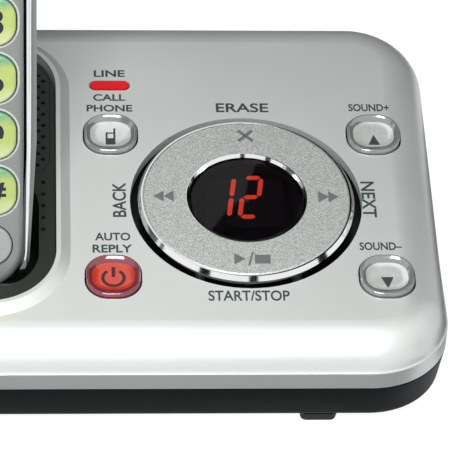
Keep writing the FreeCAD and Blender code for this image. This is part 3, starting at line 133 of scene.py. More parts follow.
def leaning_plane(x: float, y: float, z: float, slope: float) -> Plane:
    """Plane whose u runs along X and whose v climbs away to the rear.

    Args:
        x: Origin's X in millimetres.
        y: Origin's Y in millimetres.
        z: Origin's Z in millimetres.
        slope: Climb of v above the level, in degrees.

    Returns:
        The plane.
    """
    rise = math.radians(slope)
    return Plane(
        origin=Vector((x, y, z)) * MM,
        right=Vector((1, 0, 0)),
        up=Vector((0, math.cos(rise), math.sin(rise))),
        out=Vector((0, -math.sin(rise), math.cos(rise))),
    )


PANEL = leaning_plane(37.0, -8.1, 24.9, 7.0)
RING_MIDDLE = (0.037, -0.008, 0.025)
FACE = leaning_plane(-28.9, -29.0, 19.11, FACE_SLOPE)


class ShaderTree:
    """Node tree of one procedural material, built from the object's own coordinates."""

    def __init__(self, name: str) -> None:
        """Start a material.

        Args:
            name: The material's name.
        """
        self.material = bpy.data.materials.new(name)
        self.material.use_nodes = True
        self.nodes = self.material.node_tree.nodes
        self.links = self.material.node_tree.links
        self.surface = self.nodes["Principled BSDF"]
        self._place: Socket | None = None

    def feed(self, socket: Socket, value: float | tuple | Vector | Socket) -> None:
        """Set a socket to a value, or link a source to it.

        Args:
            socket: The socket.
            value: The value or the source.
        """
        if isinstance(value, Socket):
            self.links.new(value, socket)
        else:
            socket.default_value = value

    def set(self, **values: float | tuple | Socket) -> None:
        """Set or feed the surface's own sockets.

        Args:
            values: Values or sources by the sockets' names, with _ for a space.
        """
        for name, value in values.items():
            self.feed(self.surface.inputs[name.replace("_", " ")], value)

    def add(self, kind: str, **values: float | tuple | Vector | Socket) -> bpy.types.Node:
        """Add a node.

        Args:
            kind: Its type, without the word ShaderNode.
            values: Values or sources by its sockets' names, with _ for a space.

        Returns:
            The node.
        """
        node = self.nodes.new(f"ShaderNode{kind}")
        for name, value in values.items():
            self.feed(node.inputs[name.replace("_", " ")], value)
        return node

    def place(self) -> Socket:
        """The object's own coordinates, in metres."""
        if self._place is None:
            self._place = self.add("TexCoord").outputs["Object"]
        return self._place

    def noise(self, size: float, detail: float = 2.0) -> Socket:
        """Soft random pattern.

        Args:
            size: Size of its spots in millimetres.
            detail: How many finer layers it has.

        Returns:
            Its strength, from 0 to 1.
        """
        texture = self.add("TexNoise", Vector=self.place(), Scale=1 / (size * MM), Detail=detail)
        return texture.outputs["Fac"]

    def spots(self, size: float) -> Socket:
        """Cells with a random tone each.

        Args:
            size: Size of a cell in millimetres.

        Returns:
            The cells' tones, from 0 to 1.
        """
        texture = self.add("TexVoronoi", Vector=self.place(), Scale=1 / (size * MM))
        return self.add("SeparateColor", Color=texture.outputs["Color"]).outputs["Red"]

    def ramp(self, source: Socket, stops: list[tuple[float, Colour]]) -> Socket:
        """Colours along a value.

        Args:
            source: The value, from 0 to 1.
            stops: Places on it and their colours.

        Returns:
            The colour.
        """
        node = self.add("ValToRGB", Fac=source)
        points = node.color_ramp.elements
        while len(points) < len(stops):
            points.new(0.5)
        for point, (position, colour) in zip(points, stops):
            point.position = position
            point.color = colour
        return node.outputs["Color"]

    def span(self, source: Socket, low: float, high: float, start: float = 0.0, end: float = 1.0) -> Socket:
        """Rescale a value, held to the new range.

        Args:
            source: The value.
            low: What the start of the old range becomes.
            high: What its end becomes.
            start: Start of the old range.
            end: End of the old range.

        Returns:
            The rescaled value.
        """
        node = self.add("MapRange", Value=source, From_Min=start, From_Max=end, To_Min=low, To_Max=high)
        return node.outputs["Result"]

    def sum(self, first: Socket, second: Socket | float, how: str = "ADD") -> Socket:
        """Combine two values.

        Args:
            first: The first value.
            second: The second one, or a number.
            how: Name of the sum, such as ADD, MULTIPLY or FRACT.

        Returns:
            The result.
        """
        node = self.add("Math")
        node.operation = how
        self.feed(node.inputs[0], first)
        self.feed(node.inputs[1], second)
        return node.outputs["Value"]

    def relief(self, height: Socket, depth: float, strength: float = 1.0) -> None:
        """Raise the surface's shading by a pattern.

        Args:
            height: The pattern, from 0 to 1.
            depth: Its depth in millimetres.
            strength: Share of it that shows.
        """
        node = self.add("Bump", Height=height, Distance=depth * MM, Strength=strength)
        self.set(Normal=node.outputs["Normal"])


def scaled(colour: Colour, factor: float) -> Colour:
    """A colour made lighter or darker.

    Args:
        colour: The linear colour.
        factor: What its channels are multiplied by.

    Returns:
        The new colour.
    """
    red, green, blue = (min(1.0, channel * factor) for channel in colour[:3])
    return (red, green, blue, 1.0)


@dataclass(frozen=True)
class Tinted:
    """What the plain finishes have in common.

    Attributes:
        name: The finish's name.
        colour: Its linear colour.
    """

    name: str
    colour: Colour


@dataclass(frozen=True)
class Moulding(Tinted):
    """Moulded, painted or rolled surface with a fine grain and a little drift in its tone.

    Attributes:
        roughness: Its middle roughness.
        metallic: Share of metal in it.
        coat: Weight of the clear layer on it.
        coat_roughness: Roughness of that layer.
        drift: Share by which the tone drifts over the surface.
        drift_size: Size of the drift's patches in millimetres.
        grain_size: Size of a grain in millimetres.
        grain_depth: Depth of the grain in millimetres.
        grain_tone: Share by which the grain changes the tone.
        specular: Strength of the plain gloss.
        gloss_drift: Share by which the roughness drifts.
    """

    roughness: float = 0.45
    metallic: float = 0.0
    coat: float = 0.0
    coat_roughness: float = 0.1
    drift: float = 0.04
    drift_size: float = 14.0
    grain_size: float = 0.22
    grain_depth: float = 0.004
    grain_tone: float = 0.03
    specular: float = 0.5
    gloss_drift: float = 0.07

    def make(self) -> bpy.types.Material:
        """Build the material."""
        tree = ShaderTree(self.name)
        drift = tree.noise(self.drift_size, 3)
        grain = tree.noise(self.grain_size, 2)
        patches = tree.span(drift, -self.drift, self.drift, NOISE_LOW, NOISE_HIGH)
        grains = tree.span(grain, -self.grain_tone, self.grain_tone, NOISE_LOW, NOISE_HIGH)
        reach = self.drift + self.grain_tone
        share = tree.span(tree.sum(patches, grains), 0, 1, -reach, reach)
        stops = [(0, scaled(self.colour, 1 - reach)), (1, scaled(self.colour, 1 + reach))]
        smooth, rough = self.roughness * (1 - self.gloss_drift), self.roughness * (1 + self.gloss_drift)
        tree.set(Base_Color=tree.ramp(share, stops), Metallic=self.metallic,
                 Roughness=tree.span(drift, smooth, rough, NOISE_LOW, NOISE_HIGH),
                 Coat_Weight=self.coat, Coat_Roughness=self.coat_roughness, Specular_IOR_Level=self.specular)
        tree.relief(grain, self.grain_depth)
        return tree.material


@dataclass(frozen=True)
class Clear(Tinted):
    """Clear or tinted plastic that what lies under it shows through.

    Attributes:
        roughness: Its roughness.
        index: Its refraction.
        smear_size: Size of the smears on it in millimetres.
        smear: How much rougher a smear is.
    """

    roughness: float = 0.03
    index: float = 1.46
    smear_size: float = 9.0
    smear: float = 1.6

    def make(self) -> bpy.types.Material:
        """Build the material."""
        tree = ShaderTree(self.name)
        smears = tree.noise(self.smear_size, 3)
        rough = tree.span(smears, self.roughness, self.roughness * self.smear, 0.45, 0.75)
        tree.set(Base_Color=self.colour, Roughness=rough, Transmission_Weight=1.0, IOR=self.index)
        return tree.material


@dataclass(frozen=True)
class Glowing(Tinted):
    """Lit plastic with a faint cloud in its tone.

    Attributes:
        light: Colour of its light.
        strength: Strength of the light.
        coat: Weight of its clear layer.
        cloud_size: Size of a cloud in millimetres.
        body_cloud: Share of the body's tone that is left in the darkest one.
        light_cloud: Share of the light's tone that is left there.
    """

    light: Colour
    strength: float
    coat: float = 0.6
    cloud_size: float = 1.6
    body_cloud: float = 0.85
    light_cloud: float = 0.86

    def make(self) -> bpy.types.Material:
        """Build the material."""
        tree = ShaderTree(self.name)
        clouds = tree.noise(self.cloud_size, 3)
        body = [(NOISE_LOW, scaled(self.colour, self.body_cloud)), (NOISE_HIGH, self.colour)]
        light = [(NOISE_LOW, scaled(self.light, self.light_cloud)), (NOISE_HIGH, self.light)]
        tree.set(Base_Color=tree.ramp(clouds, body), Emission_Color=tree.ramp(clouds, light),
                 Emission_Strength=self.strength, Roughness=0.3, Coat_Weight=self.coat, Coat_Roughness=0.08)
        return tree.material


@dataclass(frozen=True)
class PaintedSparkle:
    """Bead-blasted silver whose grains are painted light and dark one by one: painted glints, over a real
    bump relief.

    Attributes:
        name: The finish's name.
        dark: Tone of the darkest grains.
        light: Tone of the lightest ones.
        grain_size: Size of a grain in millimetres.
    """

    name: str
    dark: Colour
    light: Colour
    grain_size: float = 0.3

    def make(self) -> bpy.types.Material:
        """Build the material."""
        tree = ShaderTree(self.name)
        grains = tree.spots(self.grain_size)
        cloud = tree.noise(self.grain_size * 1.6, 3)
        mixed = tree.sum(tree.span(grains, 0, 0.5), tree.span(cloud, 0, 0.5, NOISE_LOW, NOISE_HIGH))
        # Painted glints and shade: a random tone on each grain, from dark to light.
        tone = tree.ramp(mixed, [(0.12, self.dark), (0.9, self.light)])
        tree.set(Base_Color=tone, Metallic=0.55, Roughness=0.42)
        tree.relief(mixed, 0.02, 0.7)
        return tree.material


@dataclass(frozen=True)
class KeyGlow:
    """Translucent yellow-green key, greener at its top edge and paler below.

    Attributes:
        name: The finish's name.
        top: Colour at the upper edge.
        middle: Colour in the middle.
        low: Colour at the lower edge.
    """

    name: str
    top: Colour
    middle: Colour
    low: Colour

    def make(self) -> bpy.types.Material:
        """Build the material."""
        tree = ShaderTree(self.name)
        lean = (math.radians(FACE_SLOPE), 0, 0)
        face = tree.add("Mapping", Vector=tree.place(), Location=FACE.origin, Rotation=lean)
        face.vector_type = "TEXTURE"
        up_face = tree.add("SeparateXYZ", Vector=face.outputs["Vector"]).outputs["Y"]
        from_edge = tree.sum(up_face, (ROW_PITCH / 2 - LOWEST_ROW) * MM)
        share = tree.sum(tree.sum(from_edge, 1 / (ROW_PITCH * MM), "MULTIPLY"), 1.0, "FRACT")
        cloud = tree.span(tree.noise(2.4, 2), -0.04, 0.04, NOISE_LOW, NOISE_HIGH)
        stops = [(0.12, self.low), (0.42, self.middle), (0.7, self.middle), (0.86, self.top)]
        tree.set(Base_Color=tree.ramp(tree.sum(share, cloud), stops), Roughness=0.32, Coat_Weight=0.5,
                 Coat_Roughness=0.12, Subsurface_Weight=0.15, Subsurface_Radius=(MM, MM, 0.6 * MM))
        tree.relief(tree.noise(0.3, 2), 0.004)
        return tree.material


class Finish(Enum):
    """Every finish on the machine."""

    COVER = Moulding("silver_paint", tint(222, 226, 223), 0.4, 0.5, 0.1, 0.3, 0.012, 22, 0.16, 0.003,
                     grain_tone=0.02, specular=0.3)
    TRAY = Moulding("dark_grey_moulding", tint(22, 28, 29), 0.55, 0, 0.0, 0.15, 0.06, 12, 0.3, 0.006,
                    grain_tone=0.05, specular=0.15)
    RUBBER = Moulding("black_rubber", tint(20, 20, 20), 0.75, grain_size=0.4, grain_depth=0.012)
    STEEL = Moulding("plain_steel", tint(176, 176, 172), 0.28, 1.0, grain_size=0.5, grain_depth=0.004)
    INSERT = Moulding("black_moulding", tint(28, 33, 26), 0.5, 0, 0, 0.1, 0.05, 10, 0.25, 0.008, 0.06)
    CONTACT = Moulding("spring_metal", tint(214, 200, 160), 0.2, 1.0, grain_size=0.6, grain_depth=0.003)
    PAPER = Moulding("treated_paper", tint(40, 38, 36), 0.85, grain_size=0.5, grain_depth=0.03)
    BOARD = Moulding("green_solder_mask", tint(20, 92, 48), 0.35, 0, 0.4, 0.15, 0.12, 5, 0.6, 0.01)
    BLACK = Moulding("plain_black_moulding", tint(26, 26, 27), 0.42, grain_size=0.3, grain_depth=0.006)
    CHROME = Moulding("bright_chrome", tint(236, 238, 238), 0.09, 1.0, drift=0.02, grain_size=0.8,
                      grain_depth=0.0006, grain_tone=0.005)
    TIN = Moulding("tinned_plate", tint(190, 192, 190), 0.34, 1.0, grain_size=0.9, grain_depth=0.006)
    # Painted glints on the four-way key: its grains are painted light and dark.
    RING = PaintedSparkle("blasted_silver", tint(144, 148, 144), tint(246, 250, 245), 0.13)
    HANDSET = Moulding("satin_handset_paint", tint(140, 145, 142), 0.36, 0.35, 0.15, 0.2, 0.03, 18, 0.2,
                       0.003, grain_tone=0.02)
    SHELL = Moulding("satin_shell_paint", tint(132, 137, 135), 0.4, 0.35, 0.15, 0.2, 0.03, 18, 0.2,
                     0.004, grain_tone=0.02)
    KEY_PLATE = Moulding("satin_key_paint", tint(168, 172, 169), 0.3, 0.4, 0.4, 0.1, 0.03, 6, 0.2, 0.003)
    # Painted highlight: the light tone of the raised lines round the handset's number keys.
    KEY_EDGE_HIGHLIGHT = Moulding("painted_key_edge_highlight", tint(212, 217, 212), 0.25, 0.4, 0.4, 0.1, 0.03, 6, 0.2, 0.002)
    CALL_GREEN = Moulding("green_call_key", tint(58, 140, 66), 0.35, 0, 0.5, 0.1, 0.05, 6)
    CALL_RED = Moulding("red_call_key", tint(184, 40, 36), 0.35, 0, 0.5, 0.1, 0.05, 6)
    CELL = Moulding("cell_sleeve", tint(40, 120, 80), 0.3, 0, 0.5, 0.1, 0.06, 8)
    KEY_GLOW = KeyGlow("glowing_key", tint(118, 172, 132), tint(186, 202, 114), tint(214, 220, 174))
    LENS = Clear("smoked_lens", tint(120, 112, 120), 0.02, index=1.25)
    WINDOW = Clear("window_glass", tint(214, 220, 218), 0.02)
    LAMP = Glowing("clear_red_lens", tint(205, 22, 32), tint(225, 14, 30), 0.2)
    DIGITS = Glowing("lit_digits", tint(240, 60, 40), tint(255, 84, 56), 2.7, 0.0)
    SCREEN = Glowing("display_panel", tint(150, 172, 176), tint(176, 208, 214), 0.35, 0.3)
    INK = Moulding("dark_ink", tint(52, 64, 66), 0.5, drift=0.05, drift_size=3, grain_size=0.12)
    GREY_INK = replace(INK, name="grey_ink", colour=tint(106, 109, 109))
    KEY_INK = replace(INK, name="navy_ink", colour=tint(22, 24, 40), roughness=0.4)
    CAP_RIM = Moulding("clear_rim", tint(142, 149, 146), 0.12, 0.35, 1.0, 0.05, 0.06, 3, 0.5, 0.002)
    CAP_FACE = Moulding("clear_silver_face", tint(222, 226, 222), 0.2, 0.3, 1.0, 0.05, 0.08, 2.2, 0.4, 0.004)
    POWER_RIM = Moulding("plum_rim", tint(128, 52, 66), 0.12, 0.1, 1.0, 0.05, 0.08, 3, 0.5, 0.002)
    POWER_FACE = Glowing("orange_face", tint(196, 54, 32), tint(236, 70, 30), 0.08, 1.0)
    POWER_INK = Moulding("maroon_ink", tint(74, 10, 12), 0.3, drift=0.05, drift_size=3, grain_size=0.2)

    def paint(self) -> bpy.types.Material:
        """The finish's material, built when it is first asked for."""
        return bpy.data.materials.get(self.value.name) or self.value.make()


def dress(piece: Piece, finish: Finish) -> None:
    """Give a whole piece one finish.

    Args:
        piece: The piece.
        finish: Its finish.
    """
    piece.data.materials.clear()
    piece.data.materials.append(finish.paint())


def lay_down_tools() -> None:
    """Leave edit mode and deselect everything."""
    active = bpy.context.view_layer.objects.active
    if active and active.mode != "OBJECT":
        bpy.ops.object.mode_set(mode="OBJECT")
    bpy.ops.object.select_all(action="DESELECT")


def open_for_edit() -> None:
    """Open the active mesh for editing, with all of it selected."""
    bpy.ops.object.mode_set(mode="EDIT")
    bpy.ops.mesh.select_all(action="SELECT")


def apply_transform() -> None:
    """Put the selected objects' place, turn and size into their meshes."""
    bpy.ops.object.transform_apply(location=True, rotation=True, scale=True)


def settle(piece: Piece, placing: Matrix) -> None:
    """Put a finished piece where it belongs, with its place in its mesh.

    Args:
        piece: A mesh made at the world's centre.
        placing: Where it goes.
    """
    lay_down_tools()
    piece.select_set(True)
    bpy.context.view_layer.objects.active = piece
    piece.matrix_world = placing @ piece.matrix_world
    apply_transform()
    piece.select_set(False)


def join(name: str, parts: list[Piece]) -> Piece:
    """Make one piece of several.

    Args:
        name: The new piece's name.
        parts: The meshes that go into it.

    Returns:
        The piece.
    """
    lay_down_tools()
    for part in parts:
        part.select_set(True)
    bpy.context.view_layer.objects.active = parts[0]
    if len(parts) > 1:
        bpy.ops.object.join()
    parts[0].name = name
    parts[0].select_set(False)
    return parts[0]


def printed_words(words: str, height: float, width: float, weight: float) -> Piece:
    """Flat lettering at the world's centre, as a thin mesh.

    Args:
        words: What it says.
        height: Height over all in millimetres.
        width: Width over all in millimetres.
        weight: Thickening of the strokes in millimetres.

    Returns:
        The mesh, not yet placed.
    """
    lay_down_tools()
    bpy.ops.object.text_add()
    letters = bpy.context.object.data
    letters.body = words
    letters.size = height * MM / CAPITAL_SHARE
    letters.extrude = (PRINT_RISE + PRINT_SINK) / 2
    letters.offset = weight * MM
    letters.resolution_u = 6
    bpy.ops.object.convert(target="MESH")
    piece = bpy.context.object
    corners = [vertex.co for vertex in piece.data.vertices]
    left, right = min(c.x for c in corners), max(c.x for c in corners)
    low, high = min(c.y for c in corners), max(c.y for c in corners)
    stretch = Matrix.Diagonal((width * MM / (right - left), height * MM / (high - low), 1, 1))
    settle(piece, stretch @ Matrix.Translation((-(left + right) / 2, -(low + high) / 2, 0)))
    return piece


def flat_bar(width: float, length: float, turn: float = 0.0) -> Piece:
    """Thin printed bar at the world's centre.

    Args:
        width: Its width in millimetres.
        length: Its length in millimetres.
        turn: Its turn in degrees.

    Returns:
        The mesh.
    """
    lay_down_tools()
    bpy.ops.mesh.primitive_plane_add(size=MM)
    bar = bpy.context.object
    bar.scale = (width, length, 1)
    bar.rotation_euler = (0, 0, math.radians(turn))
    apply_transform()
    thicken_print(bar)
    return bar


def flat_triangle(width: float, height: float, turn: float = 0.0) -> Piece:
    """Thin printed triangle that points up, then turned.

    Args:
        width: Width of its foot in millimetres.
        height: Its height in millimetres.
        turn: Its turn in degrees.

    Returns:
        The mesh.
    """
    lay_down_tools()
    bpy.ops.mesh.primitive_circle_add(vertices=3, radius=MM, fill_type="NGON")
    triangle = bpy.context.object
    open_for_edit()
    bpy.ops.transform.translate(value=(0, -0.25 * MM, 0))
    bpy.ops.object.mode_set(mode="OBJECT")
    triangle.scale = (width / math.sqrt(3), height / 1.5, 1)
    apply_transform()
    triangle.rotation_euler = (0, 0, math.radians(turn))
    apply_transform()
    thicken_print(triangle)
    return triangle


def thicken_print(piece: Piece) -> None:
    """Turn a flat face into a thin printed layer about its own plane.

    Args:
        piece: The active flat mesh.
    """
    open_for_edit()
    bpy.ops.mesh.extrude_region_move(TRANSFORM_OT_translate={"value": (0, 0, PRINT_RISE + PRINT_SINK)})
    bpy.ops.mesh.select_all(action="SELECT")
    bpy.ops.transform.translate(value=(0, 0, -(PRINT_RISE + PRINT_SINK) / 2))
    bpy.ops.mesh.normals_make_consistent(inside=False)
    bpy.ops.object.mode_set(mode="OBJECT")


def moved(piece: Piece, x: float, y: float) -> Piece:
    """Shift a flat mesh in its own plane.

    Args:
        piece: The mesh.
        x: Millimetres to the right.
        y: Millimetres up.

    Returns:
        The same mesh.
    """
    settle(piece, Matrix.Translation((x * MM, y * MM, 0)))
    return piece


class Symbol(Enum):
    """Generic signs printed on keys."""

    UP = "up"
    DOWN = "down"
    POWER = "power"
    PHONE = "phone"
    CROSS = "cross"
    BACK = "back"
    NEXT = "next"
    RUN_STOP = "run_stop"


@dataclass(frozen=True)
class SignWriter:
    """Draws the generic signs as thin printed meshes at the world's centre.

    Attributes:
        arrow: Foot and height of the volume keys' triangle, in millimetres.
        skip: Foot and height of the triangles that point sideways.
        skip_step: How far the two of a pair stand from their middle.
        cross_bar: Width and length of one bar of the cross.
        circle: Radius and stroke of the open circle.
        gap: How steeply the circle's gap widens.
    """

    arrow: Pair = (2.5, 3.0)
    skip: Pair = (3.0, 2.1)
    skip_step: float = 1.0
    cross_bar: Pair = (0.75, 4.1)
    circle: Pair = (2.4, 0.65)
    gap: float = 1.4

    def draw(self, symbol: Symbol) -> list[Piece]:
        """Draw one sign.

        Args:
            symbol: Which one.

        Returns:
            The meshes that make it up.
        """
        return getattr(self, symbol.value)()

    def up(self) -> list[Piece]:
        """Triangle pointing up."""
        return [flat_triangle(*self.arrow)]

    def down(self) -> list[Piece]:
        """Triangle pointing down."""
        return [flat_triangle(*self.arrow, 180)]

    def cross(self) -> list[Piece]:
        """Diagonal cross."""
        return [flat_bar(*self.cross_bar, turn) for turn in (45, -45)]

    def back(self) -> list[Piece]:
        """Two triangles pointing left."""
        return [moved(flat_triangle(*self.skip, 90), x, 0) for x in (-self.skip_step, self.skip_step)]

    def next(self) -> list[Piece]:
        """Two triangles pointing right."""
        return [moved(flat_triangle(*self.skip, -90), x, 0) for x in (-self.skip_step, self.skip_step)]

    def run_stop(self) -> list[Piece]:
        """Triangle to the right, slash and square."""
        return [moved(flat_triangle(3.0, 2.2, -90), -2.9, 0), moved(flat_bar(0.4, 3.6, -14), -0.7, 0),
                moved(flat_bar(3.1, 2.3), 1.6, -0.1)]

    def phone(self) -> list[Piece]:
        """Small telephone: display as a frame, body and aerial."""
        bars = ((0.4, 2.1, -0.8, 0.2), (0.4, 2.1, 0.8, 0.2), (2.0, 0.35, 0, 1.15), (2.0, 1.8, 0, -1.2),
                (0.42, 1.3, 0.8, 1.8))
        return [moved(flat_bar(width, height), x, y) for width, height, x, y in bars]

    def power(self) -> list[Piece]:
        """Open circle with an upright stroke."""
        lay_down_tools()
        radius, line = self.circle
        bpy.ops.mesh.primitive_circle_add(vertices=72, radius=radius * MM, fill_type="NGON")
        circle = bpy.context.object
        bpy.ops.object.mode_set(mode="EDIT")
        bpy.ops.mesh.select_mode(type="FACE")
        bpy.ops.mesh.select_all(action="SELECT")
        bpy.ops.mesh.inset(thickness=line * MM)
        bpy.ops.mesh.delete(type="FACE")
        bpy.ops.object.mode_set(mode="OBJECT")
        for polygon in circle.data.polygons:
            polygon.select = polygon.center.y > abs(polygon.center.x) * self.gap
        bpy.ops.object.mode_set(mode="EDIT")
        bpy.ops.mesh.delete(type="FACE")
        bpy.ops.object.mode_set(mode="OBJECT")
        thicken_print(circle)
        return [circle, moved(flat_bar(0.7, 2.6), 0, 1.5)]


@dataclass(frozen=True)
class Label:
    """One printed word on the panel.

    Attributes:
        name: Name of the piece.
        words: What it says.
        u: Place to the right of the four-way key's middle, in millimetres.
        v: Place up the panel from it.
        height: Height over all.
        width: Width over all.
        turn: Turn in degrees.
    """

    name: str
    words: str
    u: float
    v: float
    height: float
    width: float
    turn: float = 0.0


@dataclass
class PanelPrinting:
    """Generic words printed on the key panel.

    Attributes:
        labels: The words.
        weight: Thickening of their strokes in millimetres.
    """

    labels: tuple[Label, ...] = (
        Label("word_line", "LINE", -26.9, 36.2, 1.95, 6.4),
        Label("word_call", "CALL", -27.0, 29.2, 1.95, 6.6),
        Label("word_phone", "PHONE", -27.0, 26.1, 1.95, 9.4),
        Label("word_erase", "ERASE", 0.3, 26.3, 2.6, 10.8),
        Label("word_start_stop", "START/STOP", -0.5, -25.2, 2.7, 15.9),
        Label("word_back", "BACK", -25.4, 0.4, 2.75, 9.4, 90),
        Label("word_next", "NEXT", 24.7, 0.5, 2.75, 9.8, -90),
        Label("word_louder", "SOUND+", 26.5, 26.4, 2.1, 8.4),
        Label("word_softer", "SOUND–", 26.2, -12.2, 2.1, 8.4),
        Label("word_auto", "AUTO", -26.9, -9.6, 2.1, 7.0),
        Label("word_reply", "REPLY", -27.0, -12.8, 2.1, 7.8),
    )
    weight: float = 0.07

    def build(self) -> list[Piece]:
        """Print every word.

        Returns:
            The pieces.
        """
        pieces = []
        for label in self.labels:
            piece = printed_words(label.words, label.height, label.width, self.weight)
            piece.name = label.name
            settle(piece, PANEL.placing(label.u, label.v, PRINT_LEVEL, label.turn))
            dress(piece, Finish.INK)
            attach(piece, "base")
            pieces.append(piece)
        return pieces


@dataclass
class RingPrinting:
    """Signs printed on the four-way key, each on the plane of its top.

    Attributes:
        rise: Height of the key's top above the panel, in millimetres.
        places: Each sign and its place from the key's middle.
    """

    rise: float = 1.2
    places: tuple[tuple[Symbol, float, float], ...] = (
        (Symbol.CROSS, 0.5, 17.1), (Symbol.BACK, -16.6, 0.3), (Symbol.NEXT, 16.5, 0.1),
        (Symbol.RUN_STOP, 0.9, -16.6),
    )

    def build(self) -> list[Piece]:
        """Print every sign.

        Returns:
            The pieces.
        """
        pieces = []
        for symbol, u, v in self.places:
            piece = join(f"ring_sign_{symbol.value}", SignWriter().draw(symbol))
            settle(piece, PANEL.placing(u, v, self.rise + PRINT_LEVEL))
            dress(piece, Finish.GREY_INK)
            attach(piece, "ring")
            pieces.append(piece)
        return pieces


@dataclass
class CapKey:
    """Clear-capped key: a rounded rim about a dished face with a sign on it.

    Attributes:
        node: Name of the key's node and body.
        u: Place across the panel, in millimetres.
        v: Place up the panel.
        symbol: The sign on its face.
        rim: Finish of the rim.
        face: Finish of the dish.
        ink: Finish of the sign.
        width: Width over the rim.
        corner: Corner radius.
        rise: Height above the panel.
        sink: How far its wall reaches under the panel.
        sign_shift: How far the sign stands above the key's middle.
        sign_level: Level of the sign's middle above the dish.
        rounding: Height of the rounded part of the rim.
        profile: Steps inwards and up, from the wall over the rim to the dish.
        dish: Size of the dish as a share of what the steps leave.
        dish_middle: Place up the panel about which the dish shrinks.
        bowl: Last step of the dish inwards and up.
        face_level: Level of the dish, known once the cap is made.
    """

    node: str
    u: float
    v: float
    symbol: Symbol
    rim: Finish = Finish.CAP_RIM
    face: Finish = Finish.CAP_FACE
    ink: Finish = Finish.INK
    width: float = 10.7
    corner: float = 4.4
    rise: float = 0.9
    sink: float = 1.6
    sign_shift: float = -0.4
    sign_level: float = 0.01
    rounding: float = 0.45
    profile: tuple[Pair, ...] = (
        (0.05, 0.15), (0.08, 0.15), (0.12, 0.1), (0.13, 0.05), (0.1, -0.02), (0.08, -0.1), (0.09, -0.5),
    )
    dish: Triple = (0.88, 0.75, 1.0)
    dish_middle: float = -0.2
    bowl: Pair = (1.4, -0.06)
    face_level: float = field(default=0.0, init=False)

    def build(self) -> list[Piece]:
        """Model the cap and its sign.

        Returns:
            The pieces.
        """
        cap = self._cap()
        sign = join(f"{self.node}_sign", SignWriter().draw(self.symbol))
        settle(sign, PANEL.placing(self.u, self.v + self.sign_shift, self.face_level + self.sign_level))
        dress(sign, self.ink)
        for piece in (cap, sign):
            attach(piece, self.node)
        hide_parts(self.node)
        return [cap, sign]

    def _cap(self) -> Piece:
        """Model the cap: wall, rounded rim, sloping inner wall and dished face.

        Returns:
            The piece.
        """
        lay_down_tools()
        bpy.ops.mesh.primitive_plane_add(size=self.width * MM)
        cap = bpy.context.object
        cap.name = f"{self.node}_cap"
        open_for_edit()
        bpy.ops.mesh.bevel(offset=self.corner * MM, segments=CORNER_STEPS, affect="VERTICES")
        bpy.ops.mesh.select_all(action="SELECT")
        wall = (self.sink + self.rise - self.rounding) * MM
        bpy.ops.mesh.extrude_region_move(TRANSFORM_OT_translate={"value": (0, 0, wall)})
        self.face_level = self.rise - self.rounding
        for inset, climb in self.profile:
            bpy.ops.mesh.inset(thickness=inset * MM, depth=climb * MM)
            self.face_level += climb
        bpy.ops.transform.resize(value=self.dish, center_override=(0, self.dish_middle * MM, 0))
        cap.data.materials.append(self.rim.paint())
        cap.data.materials.append(self.face.paint())
        cap.active_material_index = 1
        bpy.ops.object.material_slot_assign()
        inset, climb = self.bowl
        bpy.ops.mesh.inset(thickness=inset * MM, depth=climb * MM)
        self.face_level += climb
        bpy.ops.mesh.select_all(action="SELECT")
        bpy.ops.mesh.normals_make_consistent(inside=False)
        bpy.ops.mesh.select_all(action="DESELECT")
        bpy.ops.object.mode_set(mode="OBJECT")
        settle(cap, PANEL.placing(self.u, self.v, -self.sink))
        bpy.context.view_layer.objects.active = cap
        cap.select_set(True)
        bpy.ops.object.shade_smooth_by_angle(angle=math.radians(40))
        lay_down_tools()
        return cap


def key_placing(column: int, row: int, level: float) -> Matrix:
    """Where something goes on a number key of the handset.

    Args:
        column: The key's column, from 0 at the left.
        row: Its row, from 0 at the bottom.
        level: Height above the handset's face, in millimetres.

    Returns:
        The placing matrix.
    """
    return FACE.placing((column - 1) * COLUMN_PITCH, LOWEST_ROW + row * ROW_PITCH, level)


